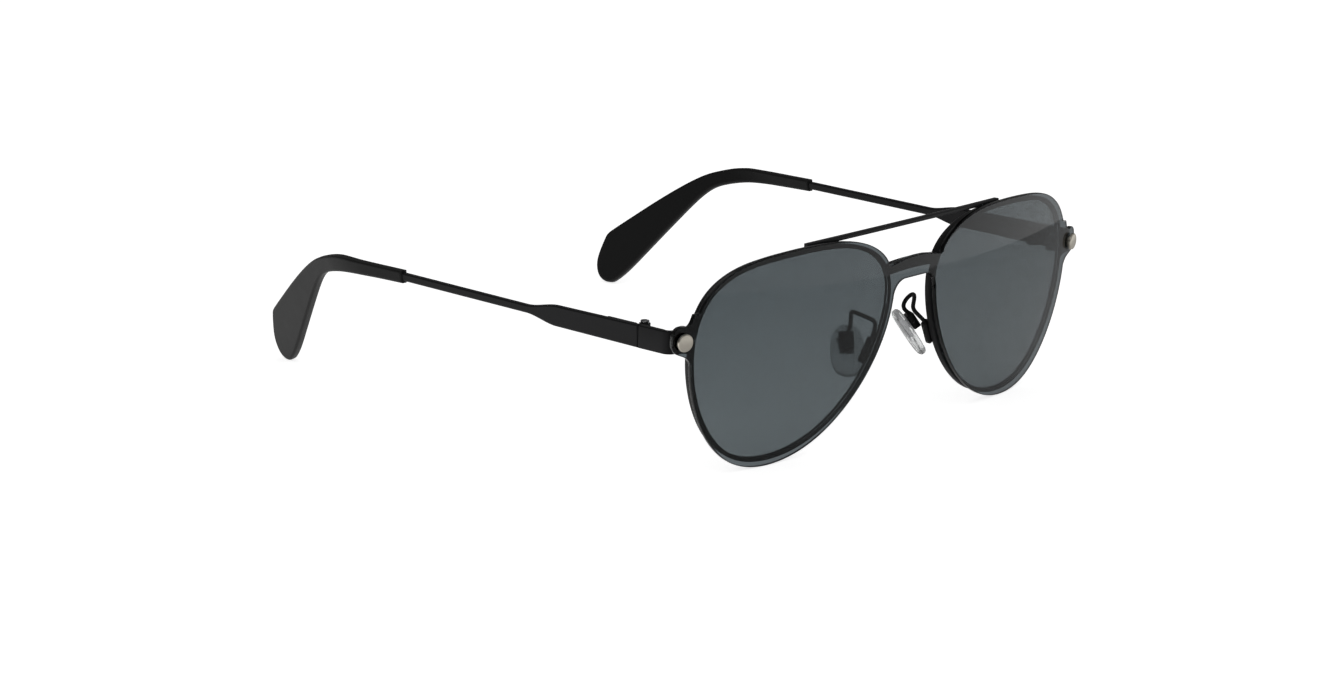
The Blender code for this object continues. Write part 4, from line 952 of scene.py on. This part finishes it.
def finish_of(slot):
    """The material of a slot, built when it is first asked for."""
    if slot in bpy.data.materials and bpy.data.materials[slot].get("fine"):
        return bpy.data.materials[slot]
    looks = bpy.context.scene.eyeglass_finishes
    clear = {"Transmission_Weight": 1.0, "IOR": 1.49}
    recipes = {
        "black_metal": dict(
            colour=looks.metal, roughness=looks.metal_roughness, grain=0.12, spread=0.12,
            bump=0.06, wear=0.05, rubbed=(0.10, 0.10, 0.11), dust=0.02,
            Specular_IOR_Level=0.16, Coat_Weight=0.03, Coat_Roughness=0.2),
        "black_acetate": dict(
            colour=looks.tip, roughness=looks.tip_roughness, grain=0.16, spread=0.10,
            bump=0.10, wear=0.04, rubbed=(0.06, 0.06, 0.06), dust=0.02,
            Specular_IOR_Level=0.22),
        "champagne_metal": dict(
            colour=looks.stud, roughness=0.30, grain=0.10, spread=0.12, bump=0.05, Metallic=1.0),
        "plated_steel": dict(
            colour=looks.steel, roughness=0.24, grain=0.10, spread=0.12, bump=0.03, Metallic=1.0),
        "clear_lens": dict(
            colour=looks.lens, roughness=0.002, grain=1.5, spread=0.002, bump=0.0, **clear),
        "smoke_tint": dict(
            colour=looks.tint, high_colour=looks.tint_top, roughness=0.002, grain=1.5,
            # Painted shade: the plate's rounded edges are painted dark, a dark outline round the
            # plate.
            spread=0.002, bump=0.0, wear=1.5, rubbed=(0.02, 0.022, 0.024),
            Specular_Tint=(0.38, 0.38, 0.38, 1.0), **clear),
        "clear_silicone": dict(
            colour=looks.pad, roughness=0.22, grain=0.5, spread=0.08, bump=0.02,
            Transmission_Weight=0.80, IOR=1.41),
    }
    made = build_finish("fine_" + slot, **recipes[slot])
    if slot in bpy.data.materials:
        bpy.data.materials[slot].name = "packed_" + slot
    made.name = slot
    made["fine"] = True
    return made


# Operators


def sizes_in_mm(context):
    """The user's lengths in millimetres and counts as they are."""
    given = context.scene.eyeglass_sizes
    values = {key: getattr(given, key) for key in given.__annotations__}
    return {key: value if isinstance(value, int) else value / MM for key, value in values.items()}


class EYEGLASSES_OT_rims(bpy.types.Operator):
    """Grooved wires swept round both lenses and slit behind the end pieces"""

    bl_idname = "eyeglasses.rims"
    bl_label = "Rims"

    def execute(self, context):
        size = sizes_in_mm(context)
        half_wall, half_depth, edge = size["rim_wall"] / 2, size["rim_depth"] / 2, size["rim_edge"]
        corner = arc((half_wall - edge, half_depth - edge), edge, 90, 0, size["edge_steps"])
        half = [
            Vector((GROOVE_DEPTH - half_wall, GROOVE_WIDTH / 2 - FIT_GAP)),
            Vector((-half_wall, GROOVE_WIDTH / 2)),
            Vector((-half_wall, half_depth - FIT_GAP)),
            Vector((FIT_GAP - half_wall, half_depth)),
        ] + corner
        section = half + [Vector((p.x, -p.y)) for p in reversed(half)]
        loop = rim_outline(size["curve_steps"], half_wall)
        gap = RIM_SLIT / 2

        def outer(p):
            return p.x > RIM_CENTRE_X

        first = next(i for i, p in enumerate(loop) if outer(p) and p.y > TEMPLE_Z + gap)
        path = [p for p in loop[first:] + loop[:first]
                if not (outer(p) and abs(p.y - TEMPLE_Z) <= gap)]
        upper, lower = (Vector((crossing(loop, 1, height, outer), height))
                        for height in (TEMPLE_Z + gap, TEMPLE_Z - gap))
        path = [upper, *path, lower]
        mesh = swept(path, section, "black_metal", level=True)
        for vertex in mesh.vertices:
            flat = vertex.co / MM
            vertex.co = on_front(flat.x, flat.y, -flat.z) * MM
        both_sides("rim_wire", outward(mesh), "black_metal", "front", "rim")
        return {"FINISHED"}


class EYEGLASSES_OT_clear_lenses(bpy.types.Operator):
    """Thin clear lenses in the grooves of the rims"""

    bl_idname = "eyeglasses.clear_lenses"
    bl_label = "Clear lenses"

    def execute(self, context):
        size = sizes_in_mm(context)
        loop = rim_outline(size["curve_steps"], size["rim_wall"] - GROOVE_DEPTH + FIT_GAP)
        mesh = plate_mesh("lens", loop, size["lens_thickness"], LENS_EDGE, LENS_GRID, on_front,
                          size["edge_steps"])
        both_sides("clear_lens", mesh, "clear_lens", "front", "demo_lens")
        return {"FINISHED"}


class EYEGLASSES_OT_tinted_clip(bpy.types.Operator):
    """The one-piece tinted plate and the two studs riveted through its ears"""

    bl_idname = "eyeglasses.tinted_clip"
    bl_label = "Tinted clip"

    def execute(self, context):
        size = sizes_in_mm(context)
        left = half_tint_outline(size["curve_steps"])
        right = [Vector((-p.x, p.y)) for p in reversed(left[:-1])]
        mesh = plate_mesh(
            "plate", spaced(left + right, PLATE_POINTS), size["tint_thickness"], size["tint_edge"],
            LENS_GRID, lambda x, z, depth: on_front(x, z, TINT_DEPTH + depth), size["edge_steps"])
        finished("tinted_plate", mesh, "smoke_tint", "clip", "tinted_clip_plate")

        radius, under = size["stud_diameter"] / 2, size["tint_thickness"] / 2 + STUD_LIFT
        top = under + size["stud_head"]
        back = -size["tint_thickness"] / 2
        rings = [(radius - inset, top - drop) for inset, drop in STUD_RINGS]
        shoulder = arc((radius - STUD_SHOULDER, top - STUD_SHOULDER_DROP - STUD_SHOULDER),
                       STUD_SHOULDER, 90, 0, 5)
        profile = [(0, rings[0][1]), *rings, *shoulder, (radius, under), (STUD_SHANK / 2, under),
                   (STUD_SHANK / 2, back), (0, back)]
        stud = turned(profile, steps=48, slot="champagne_metal")
        places = [seat_on_front(sign * STUD_X, STUD_Z, TINT_DEPTH) for _, sign in SIDES]
        finished("clip_studs", set_at(stud, places, "champagne_metal"), "champagne_metal", "clip",
                 "left_clip_stud", "right_clip_stud", smooth=28)
        return {"FINISHED"}


class EYEGLASSES_OT_bridges(bpy.types.Operator):
    """The bridge between the rims and the flat brow bar over it"""

    bl_idname = "eyeglasses.bridges"
    bl_label = "Bridge and brow bar"

    def execute(self, context):
        size = sizes_in_mm(context)
        steps = size["edge_steps"]
        rim = rim_outline(size["curve_steps"], size["rim_wall"] / 2)
        shares = evenly(-1, 1, 16)
        edges = []
        for sign in (-1, 1):
            reach = crossing(rim, 1, BRIDGE_Z - BRIDGE_DROP + sign * BRIDGE_HEIGHT / 2,
                             lambda p: p.x < RIM_CENTRE_X)
            edges.append([
                Vector((reach * s, BRIDGE_Z - BRIDGE_DROP * (reach * s / BRIDGE_HALF_SPAN) ** 2
                        + sign * BRIDGE_HEIGHT / 2)) for s in shares])
        mesh = plate_mesh("bridge", edges[0] + edges[1][::-1], BRIDGE_DEPTH, BRIDGE_EDGE,
                          STRIP_GRID, on_front, steps)
        finished("bridge_strip", mesh, "black_metal", "front", "bridge")

        def fall(x):
            return BAR_DROP * (x / BAR_HALF_LENGTH) ** 2

        def foot(side):
            """The sunk underside of a foot, from its outer end inwards on the left."""
            sunk = [Vector((side * x, crossing(rim, 0, x, lambda p: p.y > LENS_CENTRE_Z)))
                    for x in evenly(BAR_FOOT_OUTER, BAR_FOOT_INNER, 8)]
            under = [Vector((side * x, BAR_Z - BAR_HEIGHT / 2 - fall(x)))
                     for x in (BAR_HALF_LENGTH, BAR_FOOT_OUTER, BAR_FOOT_INNER)]
            return under[:2] + sunk + under[2:]

        top = [Vector((x, BAR_Z + BAR_HEIGHT / 2 - fall(x)))
               for x in evenly(BAR_HALF_LENGTH, -BAR_HALF_LENGTH, 48)]
        inner = [Vector((x, BAR_Z - BAR_HEIGHT / 2 - fall(x)))
                 for x in evenly(-BAR_FOOT_INNER, BAR_FOOT_INNER, 48)[1:-1]]
        mesh = plate_mesh("bar", top + foot(-1) + inner + foot(1)[::-1], BAR_DEPTH, BAR_EDGE,
                          BAR_GRID, on_front, steps)
        finished("brow_bar_strip", mesh, "black_metal", "front", "brow_bar")
        return {"FINISHED"}


class EYEGLASSES_OT_end_pieces(bpy.types.Operator):
    """Strips bent round the corners, with a pocket for the magnet in each"""

    bl_idname = "eyeglasses.end_pieces"
    bl_label = "End pieces"

    def execute(self, context):
        size = sizes_in_mm(context)
        outer = TEMPLE_X + size["temple_thickness"] / 2
        half = LUG_THICKNESS / 2
        face_end = outer - LUG_CORNER
        stations = []
        for x in evenly(LUG_START_X, face_end, 8):
            y = front_depth(x, STUD_Z) - size["rim_depth"] / 2
            slope = Vector((1, x / FRONT_CURVE)).normalized()
            out = Vector((slope.y, -slope.x))
            share = min((x - STUD_X) / (LUG_FLARE_X - STUD_X), 1) if x < STUD_X else 0
            stations.append((Vector((x, y)) - out * half, out, share * share))
        corner_y = front_depth(face_end, STUD_Z) - size["rim_depth"] / 2 + LUG_CORNER
        for out in arc((0, 0), 1, -LUG_TURN, 0, 10):
            stations.append((Vector((face_end, corner_y)) + out * (LUG_CORNER - half), out, 0))
        for y in evenly(corner_y, LUG_REAR_Y, 4)[1:]:
            stations.append((Vector((outer - half, y)), Vector((1, 0)), 0))
        sections = []
        for middle, out, flare in stations:
            up, down = LUG_FLARE_UP * flare, LUG_FLARE_DOWN * flare
            tall = LUG_HEIGHT / 2 + (up + down) / 2
            z = TEMPLE_Z + (up - down) / 2
            loop = rounded_rectangle(half, tall, LUG_EDGE, size["edge_steps"])
            sections.append([
                Vector((middle.x + out.x * p.x, middle.y + out.y * p.x, z + p.y)) for p in loop])
        strip = loft_mesh("lug", sections)
        depth, radius = MAGNET_THICKNESS + 2 * SEAT_GAP, MAGNET_DIAMETER / 2 + FIT_GAP
        wall = [(0, 1), (radius, 1), (radius, -depth), (0, -depth)]
        pocket = turned(wall, steps=40, slot="black_metal")
        place = seat_on_front(STUD_X, STUD_Z, -size["rim_depth"] / 2)
        place.translation *= MM
        pocket.transform(place)
        mesh = cut(strip, pocket)
        both_sides("end_strip", mesh, "black_metal", "front", "end_piece", smooth=30)
        return {"FINISHED"}


class EYEGLASSES_OT_temples(bpy.types.Operator):
    """Metal temples: a flat blade, a neck and a wire into the tip"""

    bl_idname = "eyeglasses.temples"
    bl_label = "Temples"

    def execute(self, context):
        size = sizes_in_mm(context)
        ys = (evenly(TEMPLE_FRONT_Y, BLADE_REAR_Y, 28)[:-1]
              + evenly(BLADE_REAR_Y, WIRE_FRONT_Y, 28)[:-1]
              + evenly(WIRE_FRONT_Y, SLEEVE_FRONT_Y + 1, 28))
        lower = [Vector((y, temple_middle(y) - temple_half_height(y))) for y in ys]
        upper = [Vector((y, temple_middle(y) + temple_half_height(y))) for y in reversed(ys)]
        mesh = plate_mesh(
            "temple", lower + upper, size["temple_thickness"], size["temple_edge"], TEMPLE_GRID,
            lambda y, z, out: Vector((TEMPLE_X + out, y, z)), size["edge_steps"])
        both_sides("temple_strip", mesh, "black_metal", "{}_side_arm", "temple")
        return {"FINISHED"}


class EYEGLASSES_OT_tips(bpy.types.Operator):
    """Flat plastic tips bent down and inwards over the ends of the temples"""

    bl_idname = "eyeglasses.tips"
    bl_label = "Temple tips"

    def execute(self, context):
        size = sizes_in_mm(context)
        along, across = tip_axes()
        front_z = TEMPLE_Z + WIRE_RISE
        top = [Vector((SLEEVE_FRONT_Y, front_z + SLEEVE_FRONT_HEIGHT / 2)),
               Vector((SLEEVE_REAR_Y, TEMPLE_Z + SLEEVE_REAR_HEIGHT / 2))]
        bottom = [Vector((SLEEVE_REAR_Y, TEMPLE_Z - SLEEVE_REAR_HEIGHT / 2)),
                  Vector((SLEEVE_FRONT_Y, front_z - SLEEVE_FRONT_HEIGHT / 2))]
        paddle = [
            Vector((TIP_BEND_Y, TIP_BEND_Z)) + along * PADDLE_LENGTH * length
            + across * PADDLE_WIDTH * width
            for length, width in PADDLE_SHARES]
        outline = smooth_points(top + paddle + bottom, size["curve_steps"], closed=False)
        mesh = plate_mesh("tip", spaced(outline[::-1], TIP_POINTS), size["tip_thickness"],
                          size["tip_edge"], TIP_GRID, folded, size["edge_steps"])
        both_sides("tip_paddle", mesh, "black_acetate", "{}_side_arm", "temple_tip")
        return {"FINISHED"}


class EYEGLASSES_OT_pad_arms(bpy.types.Operator):
    """Looped wires from a solder bar on each rim to the box that takes the pad"""

    bl_idname = "eyeglasses.pad_arms"
    bl_label = "Pad arms"

    def execute(self, context):
        size = sizes_in_mm(context)
        points = [Vector((PAD_ROOT_X + x, front_depth(PAD_ROOT_X + x, STUD_Z) + y,
                          LENS_CENTRE_Z + z)) for x, y, z in PAD_ARM_POINTS]
        path = spaced(smooth_points(points, 8, closed=False), WIRE_POINTS)
        wire = outward(swept(path, circle(size["arm_wire"] / 2, 16), "black_metal"))
        depth = size["rim_depth"] / 2 + SEAT_GAP + SOLDER_SIZE[2] / 2
        seat = seat_on_front(PAD_ROOT_X, LENS_CENTRE_Z - SOLDER_DROP, depth, SOLDER_LEAN)
        solder = rounded_box("solder", SOLDER_SIZE, SOLDER_EDGE, seat)
        holder_place = pad_frame() @ Matrix.Translation((0, 0, PAD_BOX_SHIFT))
        holder = rounded_box("holder", PAD_BOX_SIZE, PAD_BOX_EDGE, holder_place)
        slot = rounded_box("slot", PAD_SLOT_SIZE, 0,
                           holder_place @ Matrix.Translation((0, 0, -PAD_SLOT_BACK)))
        mesh = joined([wire, solder, cut(holder, slot)])
        both_sides("pad_arm_wire", mesh, "black_metal", "front", "pad_arm")
        return {"FINISHED"}


class EYEGLASSES_OT_nose_pads(bpy.types.Operator):
    """Soft clear pads, moulded round their metal inserts"""

    bl_idname = "eyeglasses.nose_pads"
    bl_label = "Nose pads"

    def execute(self, context):
        size = sizes_in_mm(context)
        corners = [(across * PAD_WIDTH / 2, up * PAD_LENGTH / 2 - PAD_DROP)
                   for up, across in PAD_SHARES]
        loop = smooth_points(corners, 8)
        if sum(a.cross(b) for a, b in zip(loop, loop[1:] + loop[:1])) < 0:
            loop.reverse()
        place = pad_frame()
        middle = -(PAD_BACK + size["pad_thickness"] / 2)
        mesh = plate_mesh("pad", loop, size["pad_thickness"], size["pad_edge"], STRIP_GRID,
                          lambda x, y, depth: place @ Vector((x, y, middle + depth)), 6)
        both_sides("silicone_pad", mesh, "clear_silicone", "{}_pad", "nose_pad")
        return {"FINISHED"}


class EYEGLASSES_OT_screws(bpy.types.Operator):
    """Slotted screws of the hinges, rim locks and nose pads"""

    bl_idname = "eyeglasses.screws"
    bl_label = "Screws"

    def execute(self, context):
        lock = seat_on_front(LOCK_X, TEMPLE_Z, LOCK_BACK)
        for name, (shank, head, grip), place in (
                ("hinge_screw", HINGE_SCREW, Matrix.Translation((HINGE_X, HINGE_Y, TEMPLE_Z))),
                ("rim_lock_screw", LOCK_SCREW, lock @ Matrix.Rotation(math.radians(-90), 4, "X")),
                ("pad_screw", PAD_SCREW, pad_frame() @ Matrix.Rotation(math.radians(90), 4, "Y"))):
            low = grip / 2 + SEAT_GAP
            high = low + SCREW_HEAD_HEIGHT
            rim = head / 2 - SCREW_CROWN
            crown = arc((rim, high - SCREW_CROWN), SCREW_CROWN, 90, 0, 4)
            profile = [(0, high), (rim, high), *crown, (head / 2, low), (shank / 2, low),
                       (shank / 2, -grip / 2 + SCREW_CROWN),
                       (shank / 2 - SCREW_CROWN, -grip / 2), (0, -grip / 2)]
            slot = rounded_box("slot", (2 * head, SCREW_SLOT, SCREW_HEAD_HEIGHT), 0,
                               Matrix.Translation((0, 0, high)))
            screw = cut(turned(profile, steps=32, slot="plated_steel"), slot)
            both_sides("slotted_" + name, set_at(screw, [place], "plated_steel"), "plated_steel",
                       "front", name, smooth=30)
        return {"FINISHED"}


class EYEGLASSES_OT_small_metal(bpy.types.Operator):
    """Hinge leaves and rim locks with softened edges, and the finish of magnets and inserts"""

    bl_idname = "eyeglasses.small_metal"
    bl_label = "Hinges and rim locks"

    def execute(self, context):
        for name, node, body in (
                ("hinge_leaf_front", "front_hinge", "front"),
                ("hinge_leaf_rear", "temple_hinge", "{}_side_arm"),
                ("lock_block_upper", "rim_lock_upper", "front"),
                ("lock_block_lower", "rim_lock_lower", "front")):
            both_sides(name, softened("left_" + node), "black_metal", body, node, smooth=30)
        for name in ("pad_insert", "end_magnet"):
            for side, _ in SIDES:
                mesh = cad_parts[f"{side}_{name}"].data
                mesh.materials.clear()
                mesh.materials.append(finish_of("plated_steel"))
        return {"FINISHED"}


class EYEGLASSES_OT_studio(bpy.types.Operator):
    """The pale floor, the soft lights, the white surround and the camera"""

    bl_idname = "eyeglasses.studio"
    bl_label = "Studio"

    def execute(self, context):
        studio = context.scene.eyeglass_studio
        context.scene.view_settings.view_transform = "Standard"
        floor, far = bpy.data.meshes.new("floor"), FLOOR_REACH
        corners = [(-far, -far, 0), (far, -far, 0), (far, far, 0), (-far, far, 0)]
        floor.from_pydata(corners, [], [(0, 1, 2, 3)])
        floor.materials.append(floor_finish(studio.floor))
        helper("floor", floor)
        light_world(context.scene, studio.surround)
        for name, power, width, place in LAMPS:
            lamp = bpy.data.lights.new(name, "AREA")
            lamp.energy = getattr(studio, power)
            lamp.size = width
            obj = helper(name, lamp)
            obj.location = place
            obj.rotation_euler = Vector(place).to_track_quat("Z", "Y").to_euler()
        camera = bpy.data.cameras.new("camera")
        camera.lens = studio.focal_length
        camera.sensor_width = CAMERA_SENSOR
        camera.clip_start = CAMERA_CLIP
        view = helper("camera", camera)
        view.matrix_world = camera_place()
        context.scene.camera = view
        return {"FINISHED"}


def camera_place():
    """The camera's frame at the photograph's viewing angle."""
    azimuth, elevation, roll = map(math.radians, CAMERA_ANGLES)
    back = Vector((math.sin(azimuth) * math.cos(elevation),
                   -math.cos(azimuth) * math.cos(elevation), math.sin(elevation)))
    right = Vector((math.cos(azimuth), math.sin(azimuth), 0))
    down = -back.cross(right)
    right, down = (math.cos(roll) * right + math.sin(roll) * down,
                   math.cos(roll) * down - math.sin(roll) * right)
    turn = Matrix((right, -down, back)).transposed().to_4x4()
    return Matrix.Translation(Vector(CAMERA_PLACE) * MM) @ turn


def ray_kinds(tree):
    """1 for rays that show the picture, straight or through glass, and 1 for rays of gloss."""
    path = put(tree, "ShaderNodeLightPath").outputs
    seen = calc(tree, "MAXIMUM", path["Is Camera Ray"], path["Is Transmission Ray"])
    return seen, path["Is Glossy Ray"]


def floor_finish(colour):
    """A pale floor that looks white and keeps the object's shadow."""
    made = bpy.data.materials.new("studio_floor")
    made.use_nodes = True
    tree = made.node_tree
    seen, gloss = ray_kinds(tree)
    place = put(tree, "ShaderNodeTexCoord").outputs["Object"]
    ahead = put(tree, "ShaderNodeVectorMath", {0: place, 1: CARD_DIRECTION},
                operation="DOT_PRODUCT").outputs["Value"]
    card = calc(tree, "MULTIPLY", calc(tree, "GREATER_THAN", ahead, CARD_EDGE), CARD_GLOW)
    card = calc(tree, "MAXIMUM", mapped(tree, ahead, *CARD_FADE), card)
    glow = calc(tree, "MAXIMUM", calc(tree, "MULTIPLY", seen, FLOOR_GLOW),
                calc(tree, "MULTIPLY", card, gloss))
    feed(tree, tree.nodes["Principled BSDF"], {
        "Base Color": (*colour, 1), "Roughness": 0.9, "Specular IOR Level": 0.0,
        "Emission Color": (1, 1, 1, 1), "Emission Strength": glow})
    return made


def light_world(scene, surround):
    """White where it is seen directly or through glass, and softer as light and in gloss."""
    scene.world = bpy.data.worlds.new("studio_surround")
    scene.world.use_nodes = True
    tree = scene.world.node_tree
    seen, gloss = ray_kinds(tree)
    strength = calc(tree, "MULTIPLY", mapped(tree, seen, 0, 1, surround, 1),
                    mapped(tree, gloss, 0, 1, 1, GLOSS_SHARE))
    feed(tree, tree.nodes["Background"], {"Color": (1, 1, 1, 1), "Strength": strength})


OPERATORS = (
    EYEGLASSES_OT_rims, EYEGLASSES_OT_clear_lenses, EYEGLASSES_OT_tinted_clip,
    EYEGLASSES_OT_bridges, EYEGLASSES_OT_end_pieces, EYEGLASSES_OT_temples, EYEGLASSES_OT_tips,
    EYEGLASSES_OT_pad_arms, EYEGLASSES_OT_nose_pads, EYEGLASSES_OT_screws,
    EYEGLASSES_OT_small_metal, EYEGLASSES_OT_studio,
)


class EYEGLASSES_PT_panel(bpy.types.Panel):
    """Lists the pieces, their sizes and their finishes"""

    bl_idname = "EYEGLASSES_PT_panel"
    bl_label = "Clip-on eyeglasses"
    bl_space_type = "VIEW_3D"
    bl_region_type = "UI"
    bl_category = "Eyeglasses"

    def draw(self, context):
        for group in ("eyeglass_sizes", "eyeglass_finishes", "eyeglass_studio"):
            values = getattr(context.scene, group)
            column = self.layout.column(align=True)
            for key in values.__annotations__:
                column.prop(values, key)
        for operator in OPERATORS:
            self.layout.operator(operator.bl_idname)


PROPERTY_GROUPS = (
    ("eyeglass_sizes", EyeglassSizes), ("eyeglass_finishes", EyeglassFinishes),
    ("eyeglass_studio", EyeglassStudio),
)


def register():
    for name, group in PROPERTY_GROUPS:
        bpy.utils.register_class(group)
        setattr(bpy.types.Scene, name, PointerProperty(type=group))
    for item in (*OPERATORS, EYEGLASSES_PT_panel):
        bpy.utils.register_class(item)


def unregister():
    for item in (EYEGLASSES_PT_panel, *reversed(OPERATORS)):
        bpy.utils.unregister_class(item)
    for name, group in reversed(PROPERTY_GROUPS):
        delattr(bpy.types.Scene, name)
        bpy.utils.unregister_class(group)


def main():
    register()
    for operator in OPERATORS:
        name = operator.bl_idname.split(".")[1]
        getattr(bpy.ops.eyeglasses, name)()
    bpy.context.view_layer.update()


if __name__ == "__main__":
    main()
